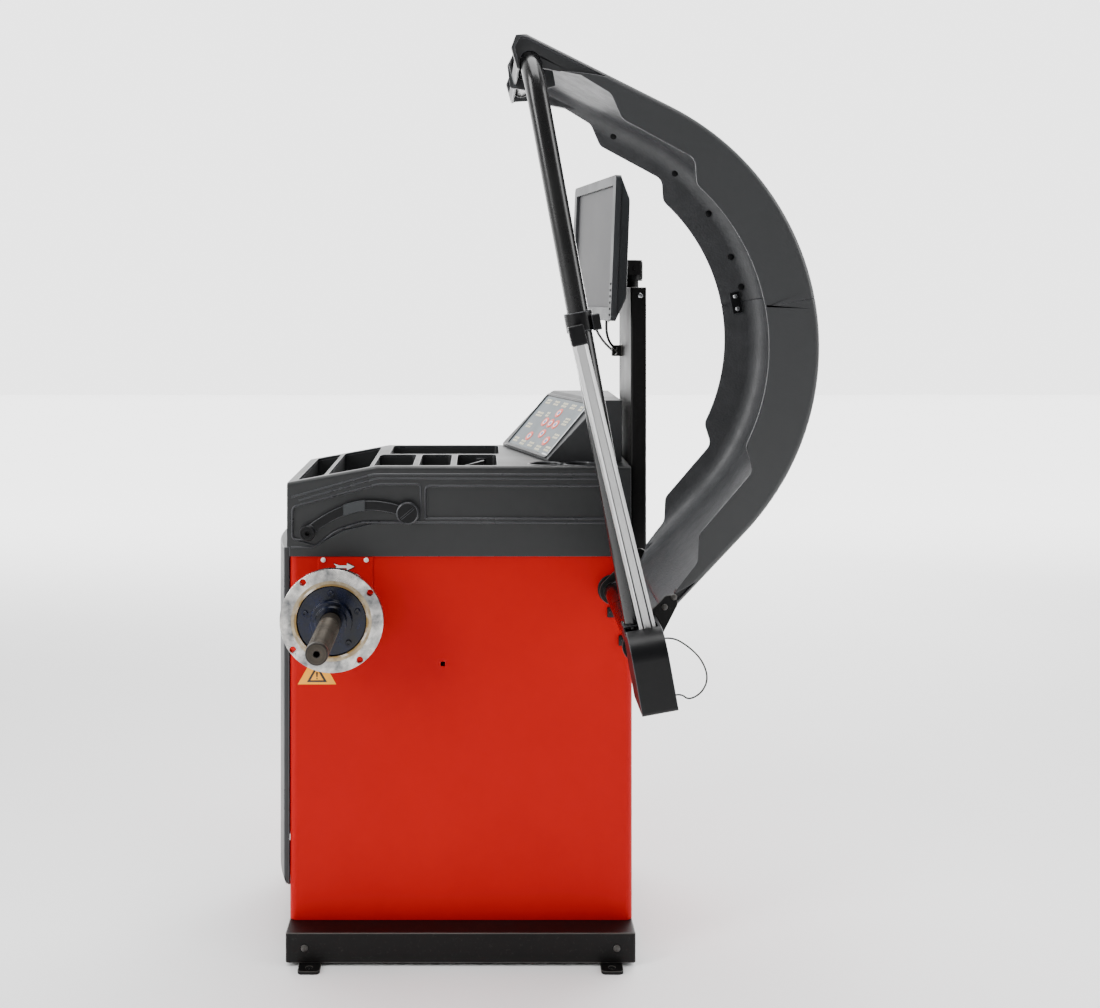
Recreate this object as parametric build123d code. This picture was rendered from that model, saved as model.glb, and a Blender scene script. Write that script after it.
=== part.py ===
"""Wheel balancer machine, one STEP file for each named part.

Millimetres. Origin on the floor at the middle of the four anchor holes, +Z up, +X towards the rear,
the balancing spindle points along -Y and the operator stands at -X.
"""
import os
from math import atan2, cos, degrees, hypot, pi, radians, sin, tan

from build123d import *

os.makedirs("parts", exist_ok=True)

# cabinet and base
CAB_X, CAB_Y, CAB_Z0, CAB_Z1 = 303.0, 180.0, 58.0, 700.0
SHEET = 2.0
PLINTH_Y, PLINTH_Z0 = 231.5, 6.0
FOOT_X, FOOT_W, FOOT_Y, FOOT_HOLE_Y, FOOT_HOLE_R = 260.0, 38.0, 262.0, 247.0, 6.0
# spindle
SP_X, SP_Z = -219.5, 605.7
SP_TIP, FL_FACE, FL_BACK = -495.0, -270.0, -254.0
SP_R, JOURNAL_R, FL_R, FL_PCD, FL_HOLE_R = 18.0, 20.0, 88.5, 163.5, 5.5
HUB_R, BOSS_R = 59.3, 35.5
RUN = 0.05
HOUSING_R = 54.0
# belt drive
MO_X, MO_Z = -40.0, 400.0
PULLEY_R, MOTOR_PULLEY_R, BELT_T, BELT_Y0, BELT_Y1 = 55.0, 22.0, 4.0, 72.0, 93.0
# tray and console
TRAY_Y, RIM_Z, TRAY_X0, TRAY_X1 = 183.0, 859.0, -307.0, 300.0
SLOPE_X, FRONT_Z, STEP_X, STEP_Z = -148.0, 830.0, -302.7, 716.5
SKIN = 4.0
# hood
PIV_X, PIV_Z = 267.0, 642.0
HC_X, HC_Z, HOOD_TILT = 137.0, 1084.0, 10.5
HOOD_R, HOOD_NEAR, HOOD_FAR = 400.0, 588.0, 200.0
TUBE_R, TUBE_WALL, TUBE_Y = 16.0, 2.5, -610.0
TOP_X, TOP_Z, TOP_BEND = 105.0, 1521.0, 80.0
LIP_RIB, WAVE_R = 411.0, 19.0
HOOD_OPEN_DEG = 78.0
PEG_AT, PEG_LEAD_DEG = 50.0, 16.35
# monitor
POST_X0, POST_X1, POST_Y0, POST_Y1, POST_Z0, POST_Z1 = 303.0, 331.0, -150.0, 62.0, 640.0, 1175.0
SW_X, SW_Y = 317.0, -40.0
MON_C, MON_W, MON_H, MON_T = (244.0, -12.0, 1244.5), 345.0, 259.0, 42.0
MON_YAW, MON_TILT = 8.24, 2.3
BEZEL_T, CABLE_OUT_X = 11.0, (36.0, -72.0)
# cords
CABLE_R, WIDTH_CABLE_R, CLIP_BORES = 2.5, 1.25, (1059.0, 1051.0)
# distance gauge
GA_X, GA_Z, KNOB_X, KNOB_Z = -269.0, 743.0, -93.5, 778.0
ROD_R, ARM_HALF = 7.0, 8.5
GRIP_X, GRIP_RUN, GRIP_SKIN = -187.5, 39.0, 0.8


def plate(face, y0, y1):
    """Extrude a face drawn in (X, Z) between two Y values."""
    hi, lo = max(y0, y1), min(y0, y1)
    return extrude(Plane((0, hi, 0), x_dir=(1, 0, 0), z_dir=(0, -1, 0)) * face, amount=hi - lo)


def disc(x, z, r, y0, y1):
    """A cylinder along Y."""
    return plate(Pos(x, z) * Circle(r), y0, y1)


def box(x0, x1, y0, y1, z0, z1):
    """A box from its six limits."""
    return Pos((x0 + x1) / 2, (y0 + y1) / 2, (z0 + z1) / 2) * Box(x1 - x0, y1 - y0, z1 - z0)


def rod_z(x, y, r, z0, z1):
    """A cylinder along Z."""
    return Pos(x, y, (z0 + z1) / 2) * Cylinder(r, z1 - z0)


def rod_x(y, z, r, x0, x1):
    """A cylinder along X."""
    return Pos((x0 + x1) / 2, y, z) * Rot(0, 90, 0) * Cylinder(r, x1 - x0)


def poly(*pts):
    """A face from its corner points."""
    return make_face(Polyline(*pts, close=True))


def rounded(part, r, axis=Axis.Z):
    """Round the edges that run along one axis."""
    return fillet(part.edges().filter_by(axis), r)


NODES = {}


def node(name, part):
    """Keep a part under its node name."""
    NODES[name] = part
    return part


# ------------------------------------------------------------------ base and cabinet
def build_base():
    bars = Part()
    for x in (-FOOT_X, FOOT_X):
        bar = rounded(box(x - FOOT_W / 2, x + FOOT_W / 2, -FOOT_Y, FOOT_Y, 0, PLINTH_Z0), 8)
        for y in (-FOOT_HOLE_Y, FOOT_HOLE_Y):
            bar -= rod_z(x, y, FOOT_HOLE_R, -1, 10)
        bars += bar
    node("foot_bars", bars)
    plinth = rounded(box(-CAB_X, CAB_X, -PLINTH_Y, PLINTH_Y, PLINTH_Z0, CAB_Z0), 5)
    plinth -= box(-CAB_X + 3, CAB_X - 3, -PLINTH_Y + 3, PLINTH_Y - 3, 0, CAB_Z0 - 4)
    for x in (-FOOT_X, FOOT_X):
        plinth += box(x - 30, x + 30, -PLINTH_Y + 3, PLINTH_Y - 3, PLINTH_Z0, PLINTH_Z0 + 3)
    node("plinth", plinth)


def build_cabinet():
    cab = rounded(box(-CAB_X, CAB_X, -CAB_Y, CAB_Y, CAB_Z0, CAB_Z1), 14)
    inner = rounded(box(-CAB_X + SHEET, CAB_X - SHEET, -CAB_Y + SHEET, CAB_Y - SHEET,
                        CAB_Z0 - 1, CAB_Z1 - SHEET), 12)
    cab -= inner
    cab -= disc(SP_X, SP_Z, HOUSING_R + 2, -CAB_Y - 5, -CAB_Y + 5)
    cab -= disc(PIV_X, PIV_Z, 20, -CAB_Y - 5, -CAB_Y + 5)
    cab -= box(-36, -28, -CAB_Y - 5, -CAB_Y + 5, 506, 514)
    cab -= box(-CAB_X - 5, -CAB_X + 5, -120, 120, 150, 560)
    cab -= box(CAB_X - 5, CAB_X + 5, -110, 110, 250, 560)
    cab -= box(CAB_X - 5, CAB_X + 5, 84, 126, 136, 194)
    cab -= box(180, 250, -60, 60, CAB_Z1 - 5, CAB_Z1 + 5)
    node("cabinet", cab)
    rear = rounded(box(CAB_X, CAB_X + 2, -125, 125, 235, 575), 6, Axis.X)
    for i in range(9):
        rear -= box(CAB_X - 1, CAB_X + 4, -80, 80, 330 + 18 * i, 336 + 18 * i)
    node("rear_panel", rear)
    access = plate(poly((-252, 640), (-156, 640), (-156, 699), (-252, 699)), -CAB_Y - 2, -CAB_Y)
    access -= disc(SP_X, SP_Z, HOUSING_R + 2, -CAB_Y - 5, -CAB_Y + 5)
    node("access_plate", access)


def cover_plan(edge, bulge, y):
    """Plan shape of the bowed front cover, drawn in (X, Y)."""
    arc = ThreePointArc((-CAB_X - edge, -y), (-CAB_X - bulge, 0), (-CAB_X - edge, y))
    return make_face(arc + Polyline((-CAB_X - edge, y), (-CAB_X, y), (-CAB_X, -y), (-CAB_X - edge, -y)))


def build_front_cover():
    outer = Pos(0, 0, 116) * extrude(cover_plan(10, 34, 174), amount=599)
    lower = [e for e in outer.edges() if abs(e.center().Z - 116) < 0.1 and e.center().X < -CAB_X - 12]
    outer = fillet(lower, 16)
    inner = Pos(0, 0, 119.5) * extrude(cover_plan(7, 31, 171), amount=592.5)
    node("front_cover", outer - inner - box(-CAB_X - 6, -CAB_X + 1, -165, 165, 125, 705))


# ------------------------------------------------------------------ spindle and drive
SEAT_R, SEAT_Y = 17.4, -285.5


def build_spindle():
    shaft = disc(SP_X, SP_Z, SP_R, SP_TIP, SEAT_Y) + disc(SP_X, SP_Z, SEAT_R, SEAT_Y, FL_BACK)
    shaft += disc(SP_X, SP_Z, JOURNAL_R, FL_BACK, 60)
    shaft += disc(SP_X, SP_Z, 15, 60, 128)
    tip = [e for e in shaft.edges() if abs(e.center().Y - SP_TIP) < 0.01]
    shaft = chamfer(tip, 1.5)
    shaft -= disc(SP_X, SP_Z, 5, SP_TIP - 1, SP_TIP + 28)
    node("spindle_shaft", shaft)
    flange = disc(SP_X, SP_Z, FL_R, FL_FACE, FL_BACK) - disc(SP_X, SP_Z, 59.5, FL_FACE - 1, FL_BACK - 4)
    flange -= disc(SP_X, SP_Z, SEAT_R + 0.05, FL_FACE, FL_BACK + 1)
    for i in range(4):
        a = radians(36.4 + 90 * i)
        flange -= disc(SP_X + FL_PCD / 2 * cos(a), SP_Z + FL_PCD / 2 * sin(a), FL_HOLE_R, -280, -240)
    node("spindle_flange", flange)
    hub = disc(SP_X, SP_Z, HUB_R, -267, FL_BACK - 4) + disc(SP_X, SP_Z, BOSS_R, -277, -267)
    hub += disc(SP_X, SP_Z, 27, -283, -277)
    hub -= disc(SP_X, SP_Z, SEAT_R + 0.05, -290, -250)
    node("spindle_hub", hub)
    pulley = disc(SP_X, SP_Z, PULLEY_R, 70, 95) + disc(SP_X, SP_Z, 24, 60, 70)
    pulley -= disc(SP_X, SP_Z, 15.05, 50, 100)
    node("driven_pulley", pulley)
    enc = disc(SP_X, SP_Z, 42, 118, 120) + disc(SP_X, SP_Z, 22, 95, 124)
    enc -= disc(SP_X, SP_Z, 15.05, 90, 130)
    for i in range(36):
        enc -= Pos(SP_X, 119, SP_Z) * Rot(0, 10 * i, 0) * Pos(37, 0, 0) * Box(6, 4, 2)
    node("encoder_disc", enc)

    housing = disc(SP_X, SP_Z, HOUSING_R, -246, 45) - disc(SP_X, SP_Z, 36, -250, 50)
    housing -= disc(SP_X, SP_Z, 40, -246, -222) + disc(SP_X, SP_Z, 40, 21, 46)
    node("bearing_housing", housing)
    bearings = Part()
    for y in (-240, 21):
        ring = disc(SP_X, SP_Z, 40, y, y + 18) - disc(SP_X, SP_Z, JOURNAL_R + RUN, y - 1, y + 19)
        ring -= (disc(SP_X, SP_Z, 33.5, y - 1, y + 2) - disc(SP_X, SP_Z, 26.5, y - 1, y + 2))
        bearings += ring
    node("spindle_bearings", bearings)
    column = box(SP_X - 40, SP_X + 40, -120, 10, CAB_Z0, 600) - box(SP_X - 34, SP_X + 34, -114, 4, 70, 535)
    column -= disc(SP_X, SP_Z, HOUSING_R, -130, 20)
    column += box(SP_X - 70, SP_X + 56, -134, 24, CAB_Z0, 68)
    node("vibration_column", column)
    piezos = Part()
    for z in (210, 470):
        piezos += rod_x(-55, z, 16, SP_X + 40, SP_X + 66) - rod_x(-55, z, 5, SP_X + 39, SP_X + 67)
    node("piezo_sensors", piezos)
    bracket = box(SP_X + 66, SP_X + 76, -95, -15, CAB_Z0, 510)
    bracket += box(SP_X + 66, SP_X + 110, -95, -15, CAB_Z0, 66)
    node("sensor_bracket", bracket)
    opto = box(SP_X - 9, SP_X + 9, 110, 128, SP_Z + 34, SP_Z + 62)
    opto -= box(SP_X - 10, SP_X + 10, 116, 122, SP_Z + 30, SP_Z + 46)
    opto += box(SP_X - 9, SP_X + 9, 10, 128, SP_Z + 62, SP_Z + 70)
    opto += box(SP_X - 9, SP_X + 9, 10, 20, SP_Z + 50, SP_Z + 62) - disc(SP_X, SP_Z, HOUSING_R, 0, 30)
    node("encoder_sensor", opto)


def loop(r0, r1):
    """Outline of a belt run around the two pulleys."""
    d = hypot(MO_X - SP_X, MO_Z - SP_Z)
    a = atan2(MO_Z - SP_Z, MO_X - SP_X)
    b = atan2((d * d - (r0 - r1) ** 2) ** 0.5, r0 - r1)
    pts = [(SP_X + r0 * cos(a + b), SP_Z + r0 * sin(a + b)), (MO_X + r1 * cos(a + b), MO_Z + r1 * sin(a + b)),
           (MO_X + r1 * cos(a - b), MO_Z + r1 * sin(a - b)), (SP_X + r0 * cos(a - b), SP_Z + r0 * sin(a - b))]
    return poly(*pts) + Pos(SP_X, SP_Z) * Circle(r0) + Pos(MO_X, MO_Z) * Circle(r1)


def build_drive():
    g = RUN
    belt = loop(PULLEY_R + g + BELT_T, MOTOR_PULLEY_R + g + BELT_T) - loop(PULLEY_R + g, MOTOR_PULLEY_R + g)
    node("drive_belt", plate(belt, BELT_Y0, BELT_Y1))
    body = disc(MO_X, MO_Z, 62, -70, 52) + disc(MO_X, MO_Z, 30, 52, 60)
    body -= disc(MO_X, MO_Z, 8 + RUN, -50, 70)
    for i in range(10):
        body -= Pos(MO_X, -10, MO_Z) * Rot(0, 18 + 36 * i, 0) * Pos(62, 0, 0) * Box(8, 100, 6)
    node("motor_body", body)
    node("motor_shaft", disc(MO_X, MO_Z, 8, -50, 97))
    node("motor_pulley", disc(MO_X, MO_Z, MOTOR_PULLEY_R, 68, 95) - disc(MO_X, MO_Z, 8, 60, 100))
    base = box(MO_X - 50, MO_X + 50, -60, 42, CAB_Z0, 372) - box(MO_X - 44, MO_X + 44, -61, 43, 66, 318)
    node("motor_bracket", base - disc(MO_X, MO_Z, 62, -80, 60))


# ------------------------------------------------------------------ electrics
def build_electrics():
    wall = CAB_Y - SHEET
    board = box(40, 240, wall - 22, wall - 20, 110, 270)
    for x in (52, 228):
        for z in (122, 258):
            board += Pos(x, wall - 10, z) * Rot(90, 0, 0) * Cylinder(4, 20)
    board += box(60, 140, wall - 52, wall - 22, 130, 160) + box(160, 215, wall - 60, wall - 22, 190, 245)
    for i in range(3):
        board += disc(75 + 26 * i, 225, 11, wall - 62, wall - 22)
    node("power_board", board)
    case = rounded(box(60, 220, wall - 46, wall, 400, 540), 4, Axis.Y)
    for i in range(7):
        case -= box(80, 200, wall - 50, wall - 44, 425 + 14 * i, 430 + 14 * i)
    node("computer_box", case)
    inlet = box(CAB_X, CAB_X + 4, 74, 136, 126, 204) + box(CAB_X - 46, CAB_X, 86, 124, 138, 192)
    inlet -= box(CAB_X - 18, CAB_X + 5, 91, 119, 142, 160)
    inlet -= box(CAB_X - 20, CAB_X + 5, 93, 117, 168, 188)
    for y in (99, 105, 111):
        inlet += box(CAB_X - 19, CAB_X - 4, y - 1, y + 1, 148, 154)
    node("mains_inlet", inlet)
    rocker = Pos(CAB_X + 1, 105, 178) * Rot(90, 0, 0) * Cylinder(7, 22.6)
    rocker += Pos(CAB_X + 4, 105, 178) * Rot(0, 12, 0) * Box(7, 22.6, 17)
    node("power_rocker", rocker)


# ------------------------------------------------------------------ tray, console, gauge
NEAR_Y, FAR_Y, MID_Y = -166, 166, 11
LAND = 6
POCKETS = [(-290, -244, NEAR_Y, FAR_Y, 792), (-236, -163, NEAR_Y, FAR_Y, 800),
           (-155, -86, NEAR_Y, MID_Y - LAND, 812), (-75, -19, NEAR_Y, MID_Y - LAND, 812),
           (-8, 64, NEAR_Y, MID_Y - LAND, 812), (-138, 70, MID_Y + LAND, FAR_Y, 812)]
WELLS = [(150, -146), (214, -146)]


def tray_profile(inset, base):
    """The tray's side outline, drawn in by a wall thickness; its front step is on the outside only."""
    if inset:
        front = [(STEP_X + inset, base), (STEP_X + inset, FRONT_Z - inset)]
    else:
        front = [(STEP_X, base), (STEP_X, STEP_Z), (TRAY_X0, STEP_Z), (TRAY_X0, FRONT_Z)]
    return poly(*front, (SLOPE_X, RIM_Z - inset), (TRAY_X1 - inset, RIM_Z - inset), (TRAY_X1 - inset, base))


def pocket(x0, x1, y0, y1, z, grow):
    g = grow
    return rounded(box(x0 - g, x1 + g, y0 - g, y1 + g, z - g, 880), 9 + g)


def side_reliefs():
    """Shallow panels in each side wall: (shape, depth)."""
    gauge_bay = poly((-296, 786), (-144, 826), (-72, 826), (-72, 762), (-118, 762), (-161, 757), (-206, 746),
                     (-256, 720), (-296, 730))
    panel = poly((-61, 768), (256, 768), (256, 823), (-61, 823))
    return (fillet(gauge_bay.vertices(), 5), 3.5), (fillet(panel.vertices(), 6), 3.0)


def build_tray():
    tray = plate(tray_profile(0, CAB_Z1), -TRAY_Y, TRAY_Y)
    top = [e for e in tray.edges() if e.center().Z > 825 and abs(abs(e.center().Y) - TRAY_Y) < 0.1]
    tray = fillet(top, 7)
    core = plate(tray_profile(SKIN, CAB_Z1 - 1), -TRAY_Y + 7, TRAY_Y - 7)
    bins = Part()
    for p in POCKETS:
        tray -= pocket(*p, 0)
        bins += (core & pocket(*p, SKIN)) - pocket(*p, 0)
    for x, y in WELLS:
        tray -= rod_z(x, y, 27, RIM_Z - 14, 880)
        core -= rod_z(x, y, 31, RIM_Z - 18, 880)
    tray -= core
    for p in POCKETS:
        tray -= pocket(*p, 0)
    slant = Pos(14, -90, 830) * Rot(0, 0, -22) * Box(4, 140, 44)
    bins += slant & box(-8, 64, NEAR_Y, MID_Y - 6, 811, 852)
    bins += rod_z(36, MID_Y, 11, 811, 852)
    node("tray_bins", bins)
    for side in (-1, 1):
        face = side * TRAY_Y
        for shape, depth in side_reliefs():
            tray -= plate(shape, face + side, face - side * depth)
    tray -= disc(GA_X, GA_Z, ROD_R + 1, -TRAY_Y - 2, -TRAY_Y + 12)
    tray -= box(200, 240, -50, 50, RIM_Z - 6, RIM_Z + 1)
    node("weight_tray", tray)


CON_A, CON_B, CON_Z = (87.6, 138.0), (155.0, -102.0), 865.0
CON_RISE, CON_SLOPE = 97.0, 48.0


def console_frame():
    """Centre of the lower edge, unit vector along it towards -Y, unit vector towards the rear."""
    dx, dy = CON_B[0] - CON_A[0], CON_B[1] - CON_A[1]
    n = hypot(dx, dy)
    return ((CON_A[0] + CON_B[0]) / 2, (CON_A[1] + CON_B[1]) / 2), (dx / n, dy / n), (-dy / n, dx / n), n


def keypad_frame(face):
    """The raised rim round the keypad."""
    rim = extrude(RectangleRounded(252, 134, 8), amount=3) - extrude(RectangleRounded(242, 124, 5), amount=4)
    return face.location * rim


def build_console():
    (mx, my), e1, e2, n = console_frame()
    side = Plane((mx - e1[0] * 200, my - e1[1] * 200, 0), x_dir=(e2[0], e2[1], 0), z_dir=(e1[0], e1[1], 0))
    run = CON_RISE / tan(radians(CON_SLOPE))

    def profile(t, base):
        return poly((t * 1.35, base), (t * 1.35, CON_Z - t * 0.2),
                    (run + t * 1.35, CON_Z + CON_RISE - t * 0.2),
                    (run + 9, 970 - t), (320, 970 - t), (320, base))

    body = box(70, 291, -110, 166, RIM_Z, 975) & extrude(side * profile(0, RIM_Z - 1), amount=400)
    inner = box(70, 288, -107, 163, RIM_Z - 2, 975) & extrude(side * profile(3, RIM_Z - 3), amount=400)
    centre = (mx + e2[0] * run / 2, my + e2[1] * run / 2, CON_Z + CON_RISE / 2)
    s, c = sin(radians(CON_SLOPE)), cos(radians(CON_SLOPE))
    face = Plane(centre, x_dir=(e1[0], e1[1], 0), z_dir=(-e2[0] * s, -e2[1] * s, c))
    body = fillet([e for e in body.edges() if e.center().Z > 955 and e.length > 60 and e.center().X < 260], 7)
    node("console", body - inner + (keypad_frame(face) & box(70, 290, -112, 166, RIM_Z, 975)))
    node("keypad_overlay", face.location * extrude(RectangleRounded(240, 122, 6), amount=0.8))
    board = face.location * (Pos(0, 0, -16) * Box(190, 90, 2))
    for u in (-80, 80):
        for v in (-36, 36):
            board += face.location * (Pos(u, v, -10.2) * Cylinder(3, 11.6))
    node("keypad_board", board)


def gauge_arm_face(half=ARM_HALF):
    """The curved arm's side outline, to a half width."""
    curve = Spline((GA_X + 6, GA_Z + 6), (-228, 772), (-178, 790), (-128, 788), (KNOB_X - 6, KNOB_Z + 2))
    stations = [i / 24 for i in range(25)]
    rows = [(curve @ t, curve % t) for t in stations]
    upper = [(p.X - t.Y * half, p.Y + t.X * half) for p, t in rows]
    lower = [(p.X + t.Y * half, p.Y - t.X * half) for p, t in rows]
    ends = Line(upper[-1], lower[-1]) + Line(lower[0], upper[0])
    return make_face(Spline(*upper) + Spline(*lower[::-1]) + ends)


def build_gauge():
    node("gauge_guide", disc(GA_X, GA_Z, 12, -175, -20) + box(GA_X - 12, GA_X + 12, -160, -120, 700, GA_Z)
         + box(GA_X - 12, GA_X + 12, -70, -30, 700, GA_Z) - disc(GA_X, GA_Z, ROD_R + RUN, -180, -10))
    node("gauge_reel", box(-215, -165, 60, 130, 700, 745) + disc(-190, 722, 18, 40, 60))
    node("gauge_rod", disc(GA_X, GA_Z, ROD_R, -194, 130) + disc(GA_X, GA_Z, 11, -197, -194)
         - plate(Pos(GA_X, GA_Z) * RegularPolygon(4.5, 6), -198, -192))
    boss = disc(GA_X, GA_Z, 14, -193.9, -184.5)
    arm = plate(gauge_arm_face(), -192.5, -185) + boss - disc(GA_X, GA_Z, ROD_R + RUN, -200, -180)
    arm -= disc(KNOB_X, KNOB_Z, 6, -200, -180)
    node("gauge_arm", arm)
    node("gauge_knob", disc(KNOB_X, KNOB_Z, 20, -196.5, -192.5) + disc(KNOB_X, KNOB_Z, 6, -192.5, -185)
         + disc(KNOB_X, KNOB_Z, 12, -185, -184))
    sleeve = gauge_arm_face(ARM_HALF + GRIP_SKIN) & (Pos(GRIP_X, GA_Z) * Rectangle(GRIP_RUN, 200))
    sleeve = plate(sleeve, -192.5 - GRIP_SKIN, -185 + GRIP_SKIN)
    node("gauge_grip", sleeve - plate(gauge_arm_face(), -192.5, -185))


# ------------------------------------------------------------------ hood
def hood_place(part):
    """Put a part drawn in the hood's own (u, v, depth) frame into the machine frame."""
    a = radians(HOOD_TILT)
    return Plane((HC_X, 0, HC_Z), x_dir=(cos(a), 0, sin(a)), z_dir=(0, -1, 0)).location * part


T1, T2 = (51.0, 463.0), (80.0, -437.0)


def tangents(r):
    """Angles, in degrees, where the end tangents leave a circle of this radius."""
    out = []
    for (u, v), s in ((T1, -1), (T2, 1)):
        from_c = hypot(u, v)
        a = degrees(atan2(v, u))
        lean = degrees(atan2((from_c ** 2 - HOOD_R ** 2) ** 0.5, HOOD_R))
        out.append(a + s * lean)
    return out


A1, A2 = tangents(HOOD_R)


def at(r, deg):
    return (r * cos(radians(deg)), r * sin(radians(deg)))


def along(r, deg, t):
    """A point t along the tangent at this angle, towards larger angles."""
    c, s = cos(radians(deg)), sin(radians(deg))
    return (r * c - t * s, r * s + t * c)


def hood_path(over=30):
    t1 = (hypot(*T1) ** 2 - HOOD_R ** 2) ** 0.5
    t2 = (hypot(*T2) ** 2 - HOOD_R ** 2) ** 0.5
    return (Line(along(HOOD_R, A1, t1 + over), at(HOOD_R, A1))
            + ThreePointArc(at(HOOD_R, A1), at(HOOD_R, (A1 + A2) / 2), at(HOOD_R, A2))
            + Line(at(HOOD_R, A2), along(HOOD_R, A2, -t2 - over)))


def hood_region(inset):
    """The hood's side outline, drawn in by a wall thickness."""
    r = HOOD_R - inset
    t1 = (hypot(*T1) ** 2 - HOOD_R ** 2) ** 0.5
    t2 = (hypot(*T2) ** 2 - HOOD_R ** 2) ** 0.5
    a, b = along(r, A1, t1 - inset), along(r, A2, -t2 + (0 if inset == 0 else -40))
    tip = [(34 + inset, 464 - inset), (24 + inset, 447)]
    low = [(60, -470)] if inset else [(70, -432)]
    arc = ThreePointArc(at(r, A1), at(r, (A1 + A2) / 2), at(r, A2))
    left = [(27 + inset, 414)] + ([(-40, 414), (-40, -470)] if inset else [])
    rest = Polyline(at(r, A2), b, *low, *left[::-1], *tip[::-1], a, at(r, A1))
    return make_face(arc + rest)


def corner_cutter(r, w, side, grow):
    """A bar swept along the outline that leaves a round corner of radius r."""
    start = along(HOOD_R, A1, (hypot(*T1) ** 2 - HOOD_R ** 2) ** 0.5 + 30)
    c, s = cos(radians(A1)), sin(radians(A1))
    pl = Plane((start[0], start[1], 0), x_dir=(c, s, 0), z_dir=(s, -c, 0))
    cy = w + side * r
    sec = (Pos((3 - r) / 2 - grow, w + side * (r - 3) / 2) * Rectangle(r + 3, r + 3)
           - Pos(-r - grow, cy) * Circle(r))
    keep = sorted(sec.faces(), key=lambda f: -hypot(f.center().X - (-grow), f.center().Y - w))[-1]
    return sweep(pl * keep, path=hood_path())


def inner_edge():
    """The wheel opening cut from both side walls, its steps eased into waves."""
    pts = [(34, 414), (60, 411), at(405, 73), at(386, 66), at(354, 62), at(352, 42), at(324, 37.5)]
    low = [at(324, -37.5), at(352, -42), at(354, -62), at(386, -66), at(405, -73), (96, -424), (60, -437)]
    line = (Polyline(*pts) + ThreePointArc(at(324, 37.5), (324, 0), at(324, -37.5)) + Polyline(*low)
            + Polyline((60, -437), (-60, -480), (-60, 414), (34, 414)))
    face = make_face(line)
    steps = [v for v in face.vertices() if 320 < hypot(v.X, v.Y) < 400 and v.X > 100]
    return fillet(steps, WAVE_R)


def build_hood():
    near, far = HOOD_NEAR, HOOD_FAR
    shell = Pos(0, 0, far) * extrude(hood_region(0), amount=near - far)
    cavity = Pos(0, 0, far + SKIN) * extrude(hood_region(SKIN), amount=near - far - 2 * SKIN)
    cavity -= corner_cutter(31, far + SKIN, 1, SKIN)
    cavity -= corner_cutter(6, near - SKIN, -1, SKIN)
    shell -= corner_cutter(35, far, 1, 0)
    shell -= corner_cutter(9, near, -1, 0)
    web = hood_region(1) - Circle(405)
    web_cut = hood_region(5) - Circle(409)
    window = inner_edge()
    shell -= cavity
    for f, d in ((far, 1), (near, -1)):
        w0, w1 = sorted((f + 1 * d, f + 13 * d))
        pad = Pos(0, 0, w0) * extrude(web, amount=w1 - w0)
        pad -= corner_cutter(35, far, 1, 0) if f == far else corner_cutter(9, near, -1, 0)
        shell += pad
        w0, w1 = sorted((f - 1 * d, f + 8 * d))
        shell -= Pos(0, 0, w0) * extrude(web_cut, amount=w1 - w0)
    shell -= Pos(0, 0, far - 5) * extrude(window, amount=near - far + 10)
    rib = poly((20, 412), (22, 448), (34, 464), (52, 462), (92, 438), (92, 402), (60, 398))
    shell += Pos(0, 0, LIP_RIB - 3) * extrude(rib, amount=6)
    for w0, w1 in ((far + 14, LIP_RIB - 12), (LIP_RIB + 12, near - 14)):
        shell -= Pos(20, 452, (w0 + w1) / 2) * Box(44, 44, w1 - w0)
    half = Pos(250, 300, 400) * Box(700, 600, 600)
    upper = shell & half
    lower = shell - half
    for name, part in (("hood_shell_upper", upper), ("hood_shell_lower", lower)):
        cleared = hood_place(part) - tube_of(TUBE_R + 0.3, 165, -150)
        node(name, max(cleared.solids(), key=lambda s: s.volume))
    strap = Pos(0, 0, far + SKIN) * extrude(Pos(350, 0) * Rectangle(18, 38), amount=3)
    strap += Pos(0, 0, near - SKIN - 3) * extrude(Pos(350, 0) * Rectangle(18, 38), amount=3)
    node("hood_joint_straps", hood_place(strap))
    ears = Part()
    for w in (near, far - 4):
        p, q = hood_uv(PIV_X, PIV_Z), (104, -404)
        ang = atan2(q[1] - p[1], q[0] - p[0])
        c, s = cos(ang), sin(ang)
        hull = poly((p[0] - 24 * s, p[1] + 24 * c), (q[0] - 12 * s, q[1] + 12 * c),
                    (q[0] + 12 * s, q[1] - 12 * c), (p[0] + 24 * s, p[1] - 24 * c))
        ear = hull + Pos(*p) * Circle(24) + Pos(*q) * Circle(12) - Pos(*p) * Circle(TUBE_R)
        ears += hood_place(Pos(0, 0, w) * extrude(ear, amount=4))
    node("hood_ears", ears - tube_of(TUBE_R, 165, -196))


def hood_uv(x, z):
    a = radians(HOOD_TILT)
    dx, dz = x - HC_X, z - HC_Z
    return (dx * cos(a) + dz * sin(a), -dx * sin(a) + dz * cos(a))


def frame_path(y_in, y_out):
    """Centre line of the hood's tube: pivot shaft, upright, top bar."""
    return FilletPolyline((PIV_X, y_in, PIV_Z), (PIV_X, TUBE_Y, PIV_Z), (TOP_X, TUBE_Y, TOP_Z),
                          (TOP_X, y_out, TOP_Z), radius=(24, TOP_BEND))


def tube_of(r, y_in, y_out):
    path = frame_path(y_in, y_out)
    return sweep(Plane((PIV_X, y_in, PIV_Z), z_dir=(0, -1, 0)) * Circle(r), path=path)


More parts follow.
